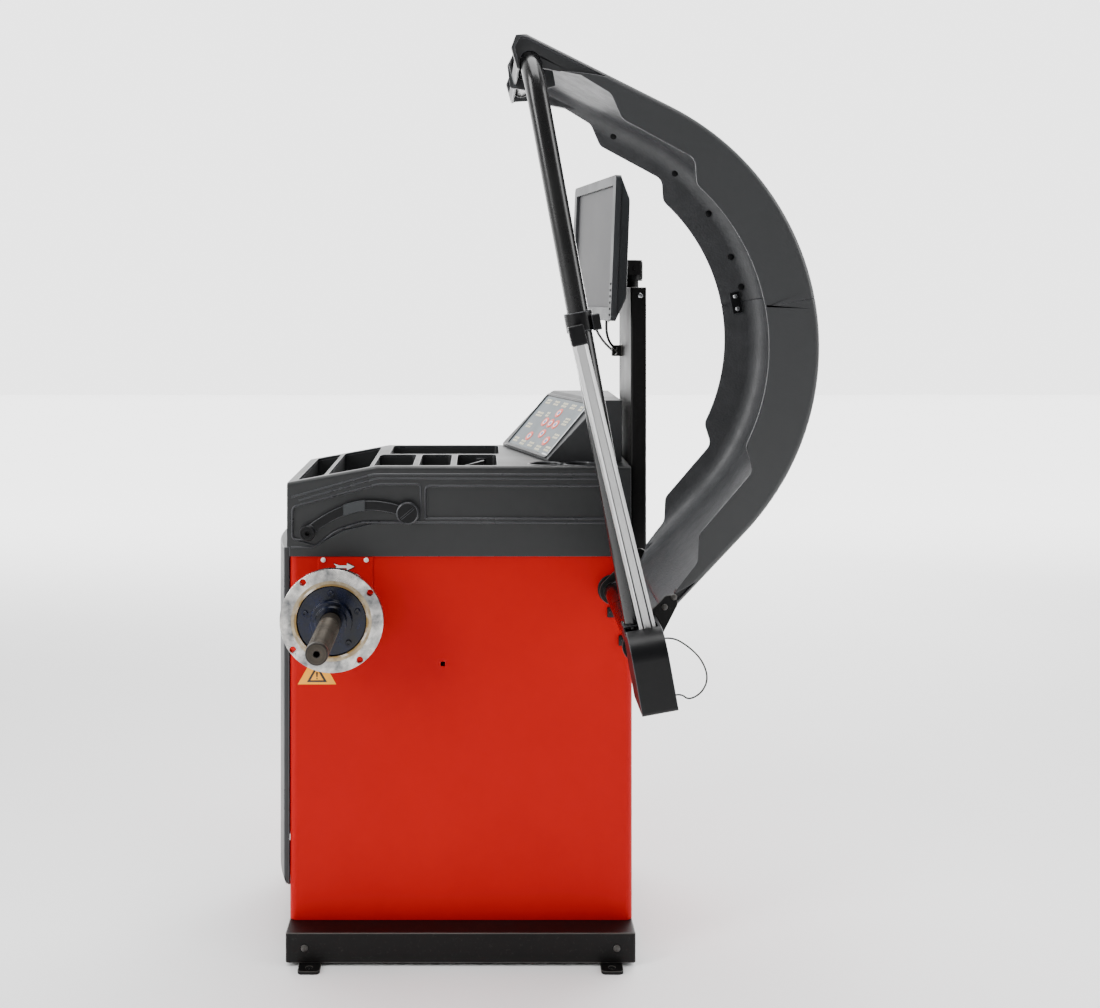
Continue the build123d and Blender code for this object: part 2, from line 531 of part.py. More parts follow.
def build_hood_frame():
    tube = tube_of(TUBE_R, 165, -196)
    tube += disc(PIV_X, PIV_Z, 26, 0, 14) + box(PIV_X - 62, PIV_X, 0, 14, PIV_Z - 8, PIV_Z + 8)
    node("hood_tube", tube - tube_of(TUBE_R - TUBE_WALL, 166, -195))
    node("hood_bar_cap", disc(TOP_X, TOP_Z, TUBE_R, -196, -191) + disc(TOP_X, TOP_Z, 13.4, -214, -196))
    blocks = Part()
    for y0, y1 in ((-165, -125), (100, 140)):
        blocks += box(236, CAB_X - SHEET, y0, y1, 608, 676) - disc(PIV_X, PIV_Z, TUBE_R + RUN, y0 - 1, y1 + 1)
    node("hood_bearings", blocks)
    stop = box(190, CAB_X - SHEET, 22, 27, 575, 690) - disc(PIV_X, PIV_Z, 19, 20, 30)
    for ang in (180 - PEG_LEAD_DEG, 180 + HOOD_OPEN_DEG + PEG_LEAD_DEG):
        stop += disc(PIV_X + PEG_AT * cos(radians(ang)), PIV_Z + PEG_AT * sin(radians(ang)), 6, -4, 24)
    node("hood_stop_plate", stop)
    node("hood_limit_switch", box(222, 250, 4, 22, 671, 687) + box(240, 246, 6, 16, 668.5, 672))


# ------------------------------------------------------------------ width gauge on the hood tube
WB_TILT = 10.3
ARM_TOP, ARM_LOW, ARM_Y = (176.4, 1089.0), (279.0, 659.0), -646.0


def wb_plane():
    a = radians(WB_TILT)
    return Plane((278.0, 0, 619.0), x_dir=(cos(a), 0, sin(a)), z_dir=(0, -1, 0))


def build_width_gauge():
    pl = wb_plane()
    half, low, top = 26.0, -47.0, 66.0
    outer = Pos(0, (low + top) / 2, 593.5 + 53.25) * Box(2 * half, top - low, 106.5)
    shoulder = [e for e in outer.edges() if abs(e.center().Y - top) < 0.1 and abs(e.center().Z - 700) < 0.1]
    outer = fillet(shoulder, 38)
    foot = [e for e in outer.edges() if abs(e.center().Y - low) < 0.1 and abs(e.center().Z - 700) < 0.1]
    outer = fillet(foot, 6)
    inner = Pos(0, (low + top) / 2, 596 + 50.75) * Box(2 * half - 5, top - low - 5, 101.5)
    shoulder = [e for e in inner.edges() if abs(e.center().Y - (top - 2.5)) < 0.1
                and abs(e.center().Z - 697.5) < 0.1]
    inner = fillet(shoulder, 35.5)
    case = pl.location * (outer - inner)
    case -= tube_of(TUBE_R + 0.6, 165, -196)
    a = atan2(ARM_TOP[0] - ARM_LOW[0], ARM_TOP[1] - ARM_LOW[1])
    case -= box(200, 330, ARM_Y - 14, ARM_Y + 14, 670, 720) & plate(
        poly((232, 660), (288, 660), (288, 720), (200, 720)), -700, -600)
    px, pz = ARM_LOW
    node("width_sensor_case", case)
    node("width_pot", disc(px, pz, 15, -668, -683) - disc(px, pz, 6 + RUN, -700, -660)
         + box(px - 6, px + 6, -697.5, -680, pz - 34, pz - 9))
    bar = Pos((ARM_TOP[0] + px) / 2, ARM_Y, (ARM_TOP[1] + pz) / 2) * Rot(0, degrees(a), 0) * Box(
        22, 24, hypot(ARM_TOP[0] - px, ARM_TOP[1] - pz) + 0)
    long_edges = [e for e in bar.edges() if e.length > 300]
    bar = chamfer(sorted(long_edges, key=lambda e: e.center().Y)[:2], 5)
    bar += disc(px, pz, 11, ARM_Y - 11, ARM_Y + 11) + disc(px, pz, 6, -680, -640)
    node("width_bar", bar)
    ux, uz = sin(a), cos(a)
    cap = Pos(ARM_TOP[0] + ux * 14.5, ARM_Y, ARM_TOP[1] + uz * 14.5) * Rot(0, degrees(a), 0) * Box(23, 25, 29)
    node("width_bar_cap", fillet(cap.edges(), 2.5))
    tx, tz = TOP_X - PIV_X, TOP_Z - PIV_Z
    ta = atan2(tx, tz)
    f = (1122 - PIV_Z) / tz
    cx, cz = PIV_X + tx * f, 1122.0
    clip = Pos(cx, TUBE_Y, cz) * Rot(0, degrees(ta), 0) * (Cylinder(21, 29) - Cylinder(TUBE_R, 40))
    jaw = Pos(cx + 24, TUBE_Y - 8, cz) * Rot(0, degrees(ta), 0) * Box(12, 22, 24)
    clip += jaw - Pos(cx, TUBE_Y, cz) * Rot(0, degrees(ta), 0) * Cylinder(TUBE_R, 60)
    node("width_arm_clip", clip)


# ------------------------------------------------------------------ monitor
def mon_plane():
    a, t = radians(MON_YAW), radians(MON_TILT)
    n = (-cos(a) * cos(t), -sin(a) * cos(t), sin(t))
    return Plane(MON_C, x_dir=(sin(a), -cos(a), 0), z_dir=n)


def build_monitor():
    post = rounded(box(POST_X0, POST_X1, POST_Y0, POST_Y1, POST_Z0, POST_Z1), 4)
    post -= box(POST_X0 + 3, POST_X1 - 3, POST_Y0 + 3, POST_Y1 - 3, POST_Z0 - 1, POST_Z1 - 3)
    post += rod_z(SW_X, SW_Y, 12, POST_Z1, 1187 - RUN) + rod_z(SW_X, SW_Y, 8, POST_Z1, 1197)
    post += box(284, POST_X0, 8, 20, 1045, 1066)
    for z in CLIP_BORES:
        post -= Pos(291, 14, z) * Rot(90, 0, 0) * Cylinder(CABLE_R + 0.1, 20)
    node("monitor_post", post)
    pl = mon_plane()
    head = rod_z(SW_X, SW_Y, 19, 1187, 1226) - rod_z(SW_X, SW_Y, 8 + RUN, 1180, 1199)
    axis = Plane((SW_X, SW_Y, 1211), z_dir=(sin(radians(MON_YAW)), -cos(radians(MON_YAW)), 0)).location
    node("monitor_swivel", head - axis * Cylinder(4 + RUN, 60))
    front = rounded(Pos(0, 0, -BEZEL_T / 2) * Box(MON_W, MON_H, BEZEL_T), 9)
    front -= Pos(0, 3, -4) * Box(MON_W - 40, MON_H - 42, 10)
    front -= Pos(0, 0, -BEZEL_T - 0.5) * Box(MON_W - 8, MON_H - 8, 12)
    node("monitor_bezel", pl.location * front)
    sizes = ((BEZEL_T, 2, 2, 9), (28, 10, 70, 14), (MON_T, 120, 112, 16))

    def back_shell(wall):
        rects = [Pos(0, 0, -d + (wall if i == 2 else 0)) * RectangleRounded(
            MON_W - w - 2 * wall, MON_H - h - 2 * wall, r) for i, (d, w, h, r) in enumerate(sizes)]
        return loft(rects[:2]) + loft(rects[1:])

    back = back_shell(0) - back_shell(4)
    for x in CABLE_OUT_X:
        back += Pos(x, -106, -25) * Rot(90, 0, 0) * Cylinder(4.5, 12)
    node("monitor_back", pl.location * back)
    core = Pos(0, 3, -8) * Box(MON_W - 36, MON_H - 38, 5) + Pos(0, 0, -20) * Box(150, 90, 20)
    node("monitor_panel", pl.location * core)
    inv = pl.to_local_coords(Vector(SW_X, SW_Y, 1211))
    ears = None
    for s in (-1, 1):
        ear = Pos(inv.X + s * 22.5, inv.Y, (inv.Z - 10 - MON_T) / 2) * Box(4, 26, abs(inv.Z - 10) - MON_T)
        ears = ear if ears is None else ears + ear
    ears += Pos(inv.X, inv.Y, -MON_T - 2) * Box(70, 60, 4)
    node("monitor_bracket", pl.location * ears + axis * Cylinder(4, 52))


def cord(name, points, r):
    """A round cord along a hand-set route, each corner as wide as its runs allow."""
    pts = [Vector(*p) for p in points]
    radii = []
    for p, q, t in zip(pts, pts[1:], pts[2:]):
        turn = (q - p).get_angle(t - q)
        radii.append(0.45 * min((q - p).length, (t - q).length) / tan(radians(turn) / 2))
    path = FilletPolyline(*pts, radius=radii)
    tube = sweep(Plane(pts[0], z_dir=pts[1] - pts[0]) * Circle(r), path=path)
    print(name, "radii", [round(x, 1) for x in radii], "length", round(path.length, 1),
          "volume ratio", round(tube.volume / (pi * r * r * path.length), 4))
    node(name, tube)


def build_cords():
    pl = mon_plane()
    starts = [pl.from_local_coords((x, -112, -25)) for x in CABLE_OUT_X]
    downs = [p - pl.y_dir * 20 for p in starts]
    cord("monitor_cable_a", [starts[0], downs[0], (269.5, -37, 1090), (277, -22, 1071), (288.5, -6, 1061),
                             (291, 13, 1059)], CABLE_R)
    cord("monitor_cable_b", [starts[1], downs[1], (259, 56, 1092), (270, 46, 1073), (284, 34, 1058),
                             (291, 15, 1051)], CABLE_R)
    case = wb_plane()
    first, last = (case.from_local_coords((26, v, 640)) for v in (42, -41))
    cord("width_cable", [first, first + case.x_dir * 15, (334, -648, 655), (352, -654, 637), (360, -657, 612),
                         (351, -653, 590), (333, -646, 578), last + case.x_dir * 13, last], WIDTH_CABLE_R)


def main():
    build_base()
    build_cabinet()
    build_front_cover()
    build_spindle()
    build_drive()
    build_electrics()
    build_tray()
    build_console()
    build_gauge()
    build_hood()
    build_hood_frame()
    build_width_gauge()
    build_monitor()
    build_cords()
    for name, part in NODES.items():
        export_step(part, f"parts/{name}.step")
        print(name, len(part.solids()), part.is_valid)


main()
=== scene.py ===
"""A workshop wheel balancer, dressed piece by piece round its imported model. Metres, +Z up, spindle along -Y."""
import logging
import math
from dataclasses import dataclass
from enum import Enum
from typing import Callable

import bmesh
import bpy
from mathutils import Matrix, Vector


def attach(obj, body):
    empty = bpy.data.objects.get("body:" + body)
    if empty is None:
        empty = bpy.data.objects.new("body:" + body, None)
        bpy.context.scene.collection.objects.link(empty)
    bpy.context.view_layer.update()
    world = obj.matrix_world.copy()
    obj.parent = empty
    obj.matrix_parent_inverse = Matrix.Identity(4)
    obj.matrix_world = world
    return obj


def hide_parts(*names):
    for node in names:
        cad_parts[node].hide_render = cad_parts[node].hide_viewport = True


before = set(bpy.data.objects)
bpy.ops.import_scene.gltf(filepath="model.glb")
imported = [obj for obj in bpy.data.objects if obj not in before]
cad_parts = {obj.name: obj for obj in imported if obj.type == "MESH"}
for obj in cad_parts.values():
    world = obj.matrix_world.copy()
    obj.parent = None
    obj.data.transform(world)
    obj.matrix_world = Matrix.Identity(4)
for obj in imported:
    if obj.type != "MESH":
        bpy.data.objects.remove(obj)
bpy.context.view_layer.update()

logging.basicConfig(level=logging.INFO, format="%(message)s")
LOG = logging.getLogger("balancer")
MM = 0.001
Y_AXIS, Z_AXIS = Vector((0, 1, 0)), Vector((0, 0, 1))
FOLD_LIMIT = 0.0004


def linear(hex_colour: str) -> tuple[float, float, float, float]:
    """Linear RGBA of an sRGB hex colour such as "E8050D"."""
    parts = [int(hex_colour[i:i + 2], 16) / 255 for i in (0, 2, 4)]
    red, green, blue = (c / 12.92 if c <= 0.04045 else ((c + 0.055) / 1.055) ** 2.4 for c in parts)
    return red, green, blue, 1.0


def add(tree: bpy.types.NodeTree, kind: str, settings: dict | None = None,
        inputs: dict | None = None) -> bpy.types.Node:
    """Add a node with its settings and links.

    Args:
        tree: The node tree that takes the node.
        kind: The node's type name.
        settings: Attributes to set on the node.
        inputs: Values for its sockets by name or number; an output socket is linked.

    Returns:
        The new node.
    """
    node = tree.nodes.new(kind)
    for key, value in (settings or {}).items():
        setattr(node, key, value)
    for key, value in (inputs or {}).items():
        if isinstance(value, bpy.types.NodeSocket):
            tree.links.new(value, node.inputs[key])
        else:
            node.inputs[key].default_value = value
    return node


class Grain(Enum):
    """How a surface was made, which sets the layout of its grain."""

    EVEN = "even"        # moulded, cast or sprayed: the same each way
    TURNED = "turned"    # rings round an axis along Y, left by a lathe
    DRAWN = "drawn"      # long lines along Z, left by a die
    CELLS = "cells"      # leather-like cells of a textured mould


@dataclass(frozen=True)
class Finish:
    """A real surface: what it is made of and how it was made.

    Args are the fields: colours are sRGB hex, sizes are millimetres.
    """

    name: str
    colour: str
    shade: str
    roughness: float = 0.45
    metallic: float = 0.0
    ior: float = 1.5
    coat: float = 0.0
    coat_roughness: float = 0.12
    grain: Grain = Grain.EVEN
    grain_mm: float = 1.0
    relief_mm: float = 0.02
    patch_mm: float = 70.0
    patch_share: float = 0.5
    gloss_spread: float = 0.06
    axis: tuple[float, float, float] = (0.0, 0.0, 0.0)
    fleck: str | None = None
    fleck_mm: float = 3.0
    fleck_share: float = 0.12
    ring: tuple[str, float, float] | None = None

    def material(self) -> bpy.types.Material:
        """The finish as a node material, made once and then shared."""
        if self.name in bpy.data.materials:
            return bpy.data.materials[self.name]
        made = bpy.data.materials.new(self.name)
        made.use_nodes = True
        made.diffuse_color = linear(self.colour)
        tree = made.node_tree
        tree.nodes.clear()
        spot = add(tree, "ShaderNodeTexCoord").outputs["Object"]
        grain_at = self.layout(tree, spot)
        fine = add(tree, "ShaderNodeTexNoise", {"noise_dimensions": "3D"}, {
            "Vector": grain_at, "Scale": 1 / (self.grain_mm * MM), "Detail": 3.0, "Roughness": 0.55})
        height = fine.outputs["Fac"]
        if self.grain is Grain.CELLS:
            cells = add(tree, "ShaderNodeTexVoronoi", {"feature": "SMOOTH_F1"}, {
                "Vector": spot, "Scale": 1 / (self.grain_mm * MM), "Smoothness": 0.6})
            height = add(tree, "ShaderNodeMath", {"operation": "ADD"}, {
                0: cells.outputs["Distance"], 1: fine.outputs["Fac"]}).outputs[0]
        broad = add(tree, "ShaderNodeTexNoise", {}, {
            "Vector": spot, "Scale": 1 / (self.patch_mm * MM), "Detail": 4.0, "Roughness": 0.6})
        share = add(tree, "ShaderNodeMapRange", {}, {
            "Value": broad.outputs["Fac"], "From Min": 0.35, "From Max": 0.7, "To Min": 0.0,
            "To Max": self.patch_share})
        colour = add(tree, "ShaderNodeMix", {"data_type": "RGBA"}, {
            0: share.outputs[0], 6: linear(self.colour), 7: linear(self.shade)}).outputs[2]
        if self.fleck:
            spots = add(tree, "ShaderNodeTexNoise", {}, {
                "Vector": grain_at if self.grain is Grain.TURNED else spot, "Scale": 1 / (self.fleck_mm * MM),
                "Detail": 5.0, "Roughness": 0.7})
            mask = add(tree, "ShaderNodeMapRange", {}, {
                "Value": spots.outputs["Fac"], "From Min": 0.62 - self.fleck_share, "From Max": 0.72,
                "To Min": 0.0, "To Max": 0.85})
            colour = add(tree, "ShaderNodeMix", {"data_type": "RGBA"}, {
                0: mask.outputs[0], 6: colour, 7: linear(self.fleck)}).outputs[2]
        if self.ring:
            stain, inner, outer = self.ring
            reach = add(tree, "ShaderNodeSeparateXYZ", {}, {0: grain_at}).outputs[0]
            near = add(tree, "ShaderNodeMapRange", {"interpolation_type": "SMOOTHSTEP"}, {
                "Value": reach, "From Min": inner * MM, "From Max": outer * MM, "To Min": 1.1, "To Max": 0.0})
            share = add(tree, "ShaderNodeMath", {"operation": "MULTIPLY", "use_clamp": True}, {
                0: near.outputs[0], 1: add(tree, "ShaderNodeMapRange", {}, {
                    "Value": broad.outputs["Fac"], "From Min": 0.3, "From Max": 0.55}).outputs[0]})
            colour = add(tree, "ShaderNodeMix", {"data_type": "RGBA"}, {
                0: share.outputs[0], 6: colour, 7: linear(stain)}).outputs[2]
        rough = add(tree, "ShaderNodeMapRange", {}, {
            "Value": broad.outputs["Fac"], "From Min": 0.3, "From Max": 0.7,
            "To Min": self.roughness - self.gloss_spread, "To Max": self.roughness + self.gloss_spread})
        bump = add(tree, "ShaderNodeBump", {}, {
            "Height": height, "Distance": self.relief_mm * MM, "Strength": 1.0})
        inputs = {"Base Color": colour, "Roughness": rough.outputs[0], "Normal": bump.outputs[0],
                  "Metallic": self.metallic, "Coat Weight": self.coat, "Coat Roughness": self.coat_roughness}
        if not self.metallic:
            inputs["IOR"] = self.ior
        shader = add(tree, "ShaderNodeBsdfPrincipled", {}, inputs)
        add(tree, "ShaderNodeOutputMaterial", {}, {"Surface": shader.outputs[0]})
        return made

    def layout(self, tree: bpy.types.NodeTree, spot: bpy.types.NodeSocket) -> bpy.types.NodeSocket:
        """Where the grain's pattern is read: even, in rings round the axis, or drawn out along Z."""
        if self.grain is Grain.TURNED:
            centred = add(tree, "ShaderNodeVectorMath", {"operation": "SUBTRACT"}, {0: spot, 1: self.axis})
            split = add(tree, "ShaderNodeSeparateXYZ", {}, {0: centred.outputs[0]})
            flat = add(tree, "ShaderNodeCombineXYZ", {}, {0: split.outputs[0], 2: split.outputs[2]})
            radius = add(tree, "ShaderNodeVectorMath", {"operation": "LENGTH"}, {0: flat.outputs[0]})
            return add(tree, "ShaderNodeCombineXYZ", {}, {
                0: radius.outputs["Value"], 1: split.outputs[1]}).outputs[0]
        if self.grain is Grain.DRAWN:
            return add(tree, "ShaderNodeMapping", {}, {"Vector": spot, "Scale": (1.0, 1.0, 0.02)}).outputs[0]
        return spot


SPINDLE = (-219.5 * MM, -0.39, 605.7 * MM)

# Polyester powder coat on sheet steel: deep even red, slight orange peel, soft gloss.
RED_COAT = Finish("powder_coat_red", "B80002", "AC0002", 0.5, ior=1.22, grain_mm=2.2, relief_mm=0.006,
                  patch_mm=180, patch_share=0.35, gloss_spread=0.03)
# The same coat on folded edges, a shade lighter and glossier: partly real rubbing, partly a painted highlight along
# the edges.
RED_EDGE_WEAR_AND_HIGHLIGHT = Finish("powder_coat_red_edge_wear_and_highlight", "D40C12", "C4060A", 0.32, ior=1.4, grain_mm=2.2, relief_mm=0.006)
# Black semi-matt paint on folded plate: the plinth, feet and post.
BLACK_PAINT = Finish("paint_black_semi_matt", "060505", "090808", 0.46, ior=1.3, grain_mm=1.4, relief_mm=0.012,
                     patch_mm=90, fleck="242220", fleck_mm=5, fleck_share=0.04)
# A much lighter copy of the black paint, for rounded edges and some screw heads: a painted highlight.
BLACK_PAINT_HIGHLIGHT = Finish("paint_black_painted_highlight", "3B3936", "4A4743", 0.34, grain_mm=1.4, relief_mm=0.008)
# Baked enamel on steel tube: wet-looking black with a sharp highlight.
TUBE_ENAMEL = Finish("enamel_black_gloss", "050506", "080809", 0.27, coat=0.22, coat_roughness=0.1, grain_mm=6,
                     relief_mm=0.005, patch_mm=60, gloss_spread=0.04)
# Moulded ABS with a fine spark-eroded grain: charcoal, broad soft highlights.
ABS_FINE = Finish("abs_charcoal_fine", "1E1F20", "18191A", 0.42, grain=Grain.CELLS, grain_mm=1.3, relief_mm=0.025,
                  patch_mm=120, gloss_spread=0.05)
# A lighter copy of the charcoal plastic, for rounded edges, beads, rims and the knob's slot: a painted highlight.
ABS_HIGHLIGHT = Finish("abs_charcoal_painted_highlight", "36373A", "303134", 0.3, grain_mm=1.2, relief_mm=0.008)
# The guard's outer skin: the same grain, a shade darker.
GUARD_SKIN = Finish("abs_guard_skin", "2E2F30", "27282A", 0.42, grain=Grain.CELLS, grain_mm=1.6, relief_mm=0.03,
                    patch_mm=160, gloss_spread=0.05)
# The guard's inside: coarse leather grain, drawn a little coarser than life so that it shows.
GUARD_LINER = Finish("abs_guard_coarse_grain", "434446", "2C2D2F", 0.46, grain=Grain.CELLS, grain_mm=3.4,
                     relief_mm=0.24, patch_mm=30, gloss_spread=0.06)
ABS_GREY = Finish("abs_grey_moulded", "393B3D", "323436", 0.42, ior=1.36, grain=Grain.CELLS, grain_mm=1.0,
                  relief_mm=0.015)
ABS_DARK = Finish("abs_dark_moulded", "08080A", "0B0C0D", 0.4, ior=1.34, grain=Grain.CELLS, grain_mm=1.0,
                  relief_mm=0.02)
CONSOLE_TOP = Finish("abs_console", "28292B", "222325", 0.44, grain=Grain.CELLS, grain_mm=1.2, relief_mm=0.025)
# Lathe-turned steel, handled and slightly stained: bright rings and warm smudges. Its large dark blue-grey patches
# are painted reflection, standing in for the darker sectors that a turned face reflects.
TURNED_STEEL = Finish("steel_turned", "E2DFDA", "4A4F55", 0.28, 1.0, grain=Grain.TURNED, grain_mm=0.8, axis=SPINDLE,
                      relief_mm=0.03, patch_mm=34, patch_share=1.0, fleck="8D8676", fleck_mm=14, fleck_share=0.02,
                      ring=("8E7448", 58, 72), gloss_spread=0.1)
STAINED_STEEL = Finish("steel_turned_stained", "B3A68E", "8C7B60", 0.38, 1.0, grain=Grain.TURNED, grain_mm=0.9,
                       axis=SPINDLE, relief_mm=0.02, patch_mm=12, patch_share=0.9)
# Oiled tool steel: brown-grey with a low shine.
SHAFT_STEEL = Finish("steel_oiled", "4A443C", "332F2A", 0.42, 0.7, grain=Grain.TURNED, grain_mm=1.1, axis=SPINDLE,
                     relief_mm=0.02, patch_mm=30, patch_share=0.8, fleck="38332E", fleck_mm=9)
TIP_STEEL = Finish("steel_tip_dark", "211E1C", "171513", 0.42, 0.5, grain=Grain.TURNED, grain_mm=1.2, axis=SPINDLE,
                   relief_mm=0.03, patch_mm=8)
# Cast iron under blue-black enamel: glossy over small casting bumps.
BLUE_CASTING = Finish("enamel_blue_on_casting", "020409", "05163F", 0.24, ior=1.35, coat=0.2, coat_roughness=0.08,
                      grain_mm=5.0, relief_mm=0.22, patch_mm=24, patch_share=0.55)
# Mill-finish aluminium bar: pale and matt, with long die lines.
BAR_ALUMINIUM = Finish("aluminium_drawn", "D2D2D2", "BEBEBF", 0.42, 0.75, grain=Grain.DRAWN, grain_mm=0.8,
                       relief_mm=0.006, patch_mm=60, patch_share=0.5)
ZINC = Finish("zinc_plated", "C6C7C9", "9EA0A4", 0.28, 1.0, grain_mm=1.5, relief_mm=0.01, patch_mm=4)
NYLON_WHITE = Finish("nylon_white", "F1F0EC", "DEDDD8", 0.4, grain_mm=1.0, relief_mm=0.02, patch_mm=4)
LABEL_YELLOW = Finish("vinyl_yellow", "FFAE00", "F4A000", 0.38, grain_mm=1.2, relief_mm=0.004, patch_mm=20)
LABEL_BLACK = Finish("vinyl_black", "191816", "23211E", 0.4, grain_mm=1.2, relief_mm=0.004, patch_mm=20)
LABEL_WHITE = Finish("vinyl_white", "F4F2EE", "E6E3DD", 0.38, grain_mm=1.2, relief_mm=0.004, patch_mm=20)
PANEL_GLASS = Finish("display_film_matt", "38383A", "303032", 0.42, ior=1.22, grain_mm=0.4, relief_mm=0.004,
                     patch_mm=200, patch_share=0.6, gloss_spread=0.02)
OVERLAY = Finish("polyester_overlay", "4E5B62", "46535A", 0.36, grain_mm=0.5, relief_mm=0.006, patch_mm=60)
KEY_PALE = Finish("print_beige", "DAD2B6", "CBC2A2", 0.4, grain_mm=0.5, relief_mm=0.006, patch_mm=10)
KEY_ORANGE = Finish("print_orange", "F03A08", "E03004", 0.38, grain_mm=0.5, relief_mm=0.006, patch_mm=10)
KEY_BLUE = Finish("print_blue", "2F63B8", "2956A3", 0.38, grain_mm=0.5, relief_mm=0.006, patch_mm=10)
CABLE_PVC = Finish("pvc_black_cable", "161617", "1D1D1E", 0.36, grain_mm=1.0, relief_mm=0.01, patch_mm=20)
BELT_RUBBER = Finish("rubber_belt", "1A1A1A", "242322", 0.6, grain_mm=1.0, relief_mm=0.05)
MOTOR_PAINT = Finish("paint_grey_motor", "6E7276", "5E6266", 0.4, grain_mm=1.6, relief_mm=0.02)
BOARD = Finish("glass_epoxy_board", "1F6B3A", "185A30", 0.35, grain_mm=0.6, relief_mm=0.01)
PLAIN_STEEL = Finish("steel_dark_ground", "6B6A68", "545351", 0.38, 1.0, grain_mm=0.9, relief_mm=0.02)
FLOOR_PAINT = Finish("floor_seamless_pale", "F7F7F7", "F4F4F4", 0.7, grain_mm=3, relief_mm=0.002, patch_mm=900)


# ---------------------------------------------------------------- mesh helpers
def tidy(mesh: bpy.types.Mesh, crease_deg: float = 32.0) -> bpy.types.Mesh:
    """Shade a mesh smooth, with edges sharper than the crease angle kept sharp.

    Args:
        mesh: The mesh to shade.
        crease_deg: The sharpest turn that still shades smooth.

    Returns:
        The same mesh.
    """
    mesh.shade_smooth()
    mesh.set_sharp_from_angle(angle=math.radians(crease_deg))
    return mesh


def piece(name: str, mesh: bpy.types.Mesh, finish: Finish, body: str, slot: str, *nodes: str) -> bpy.types.Object:
    """Put a finished mesh in the scene as a piece.

    Args:
        name: The piece's name.
        mesh: Its mesh, already in place.
        finish: The finish of every face, unless the mesh has materials already.
        body: The CAD body it rides on.
        slot: The record's material slot it belongs to; not used.
        nodes: The CAD nodes that it stands for.

    Returns:
        The piece.
    """
    obj = bpy.data.objects.new(name, mesh)
    bpy.context.scene.collection.objects.link(obj)
    if not mesh.materials:
        mesh.materials.append(finish.material())
    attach(obj, body)
    if nodes:
        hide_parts(*nodes)
    LOG.info("piece %s on %s: %d faces", name, body, len(mesh.polygons))
    return obj


def applied(mesh: bpy.types.Mesh, *modifiers: tuple[str, dict]) -> bpy.types.Mesh:
    """The mesh after some modifiers.

    Args:
        mesh: The mesh to work on.
        modifiers: Pairs of a modifier type and its settings.

    Returns:
        A plain mesh.
    """
    obj = bpy.data.objects.new("work", mesh)
    bpy.context.scene.collection.objects.link(obj)
    for kind, settings in modifiers:
        made = obj.modifiers.new(kind, kind)
        for key, value in settings.items():
            setattr(made, key, value)
    graph = bpy.context.evaluated_depsgraph_get()
    result = bpy.data.meshes.new_from_object(obj.evaluated_get(graph))
    bpy.data.objects.remove(obj)
    return result


def merged_copy(node: str, join_deg: float) -> bpy.types.Mesh:
    """A CAD node's mesh as a closed copy, its doubles merged.

    Args:
        node: The CAD node.
        join_deg: Faces that turn less than this are joined; none are at zero.

    Returns:
        The copy.
    """
    work = bmesh.new()
    work.from_mesh(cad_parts[node].data)
    bmesh.ops.remove_doubles(work, verts=work.verts, dist=2e-6)
    if join_deg:
        bmesh.ops.dissolve_limit(work, angle_limit=math.radians(join_deg), verts=work.verts, edges=work.edges)
    mesh = bpy.data.meshes.new(node + "_mesh")
    work.to_mesh(mesh)
    work.free()
    if "custom_normal" in mesh.attributes:
        mesh.attributes.remove(mesh.attributes["custom_normal"])
    return mesh


def folded_share(mesh: bpy.types.Mesh) -> float:
    """Share of a mesh's area whose triangles face against their own face, as a rounding that overlaps leaves."""
    mesh.calc_loop_triangles()
    ways = [face.normal.copy() for face in mesh.polygons]
    wrong = sum(t.area for t in mesh.loop_triangles if t.normal.dot(ways[t.polygon_index]) < 0)
    return wrong / max(sum(face.area for face in mesh.polygons), 1e-9)


def carry(node: str, finish: Finish, body: str, slot: str, round_mm: float = 0.8, edge: Finish | None = None,
          steps: int = 2, corner_deg: float = 38.0,
          lining: tuple[Finish, Callable[[Vector, Vector], bool]] | None = None) -> bpy.types.Object:
    """Stand a copy with rounded edges in for a CAD node. The first of several ways that leaves no fold is kept.

    Args:
        node: The CAD node.
        finish: Its finish.
        body: The body it rides on.
        slot: Its material slot.
        round_mm: Radius of the rounding.
        edge: Finish of the rounded edges: where it is lighter than the faces it is a painted highlight, on the red
            coat partly real wear too.
        steps: Segments of the rounding.
        corner_deg: Only edges sharper than this are rounded.
        lining: A second finish, and the test of a face's place and normal that says where it goes.

    Returns:
        The piece.
    """
    best, least = None, 1.0
    for join, share in ((0.4, 1.0), (0.0, 1.0), (0.4, 0.5), (0.0, 0.5), (0.0, 0.25)):
        mesh = merged_copy(node, join)
        mesh.materials.clear()
        mesh.materials.append(finish.material())
        mesh.materials.append((edge or finish).material())
        bevel = {"width": round_mm * share * MM, "segments": steps, "limit_method": "ANGLE",
                 "angle_limit": math.radians(corner_deg), "use_clamp_overlap": False, "material": 1,
                 "miter_outer": "MITER_ARC"}
        tried = applied(mesh, ("BEVEL", bevel))
        folded = folded_share(tried)
        if folded < least:
            best, least = tried, folded
        if folded < FOLD_LIMIT:
            break
    LOG.info("%s: joined at %s deg, rounding %s, folded %.5f", node, join, share, least)
    if lining:
        best.materials.append(lining[0].material())
        for face in best.polygons:
            if face.material_index == 0 and lining[1](face.center, face.normal):
                face.material_index = 2
    mesh = applied(tidy(best), ("WEIGHTED_NORMAL", {"weight": 100, "keep_sharp": True}))
    return piece(node + "_dressed", mesh, finish, body, slot, node)


def from_bm(work: bmesh.types.BMesh, name: str, crease_deg: float = 32.0) -> bpy.types.Mesh:
    """A mesh from a bmesh, its faces turned outwards.

    Args:
        work: The bmesh, which is freed.
        name: The mesh's name.
        crease_deg: Edges sharper than this stay sharp.

    Returns:
        The mesh.
    """
    bmesh.ops.remove_doubles(work, verts=work.verts, dist=1e-6)
    bmesh.ops.recalc_face_normals(work, faces=work.faces)
    mesh = bpy.data.meshes.new(name)
    work.to_mesh(mesh)
    work.free()
    return tidy(mesh, crease_deg)


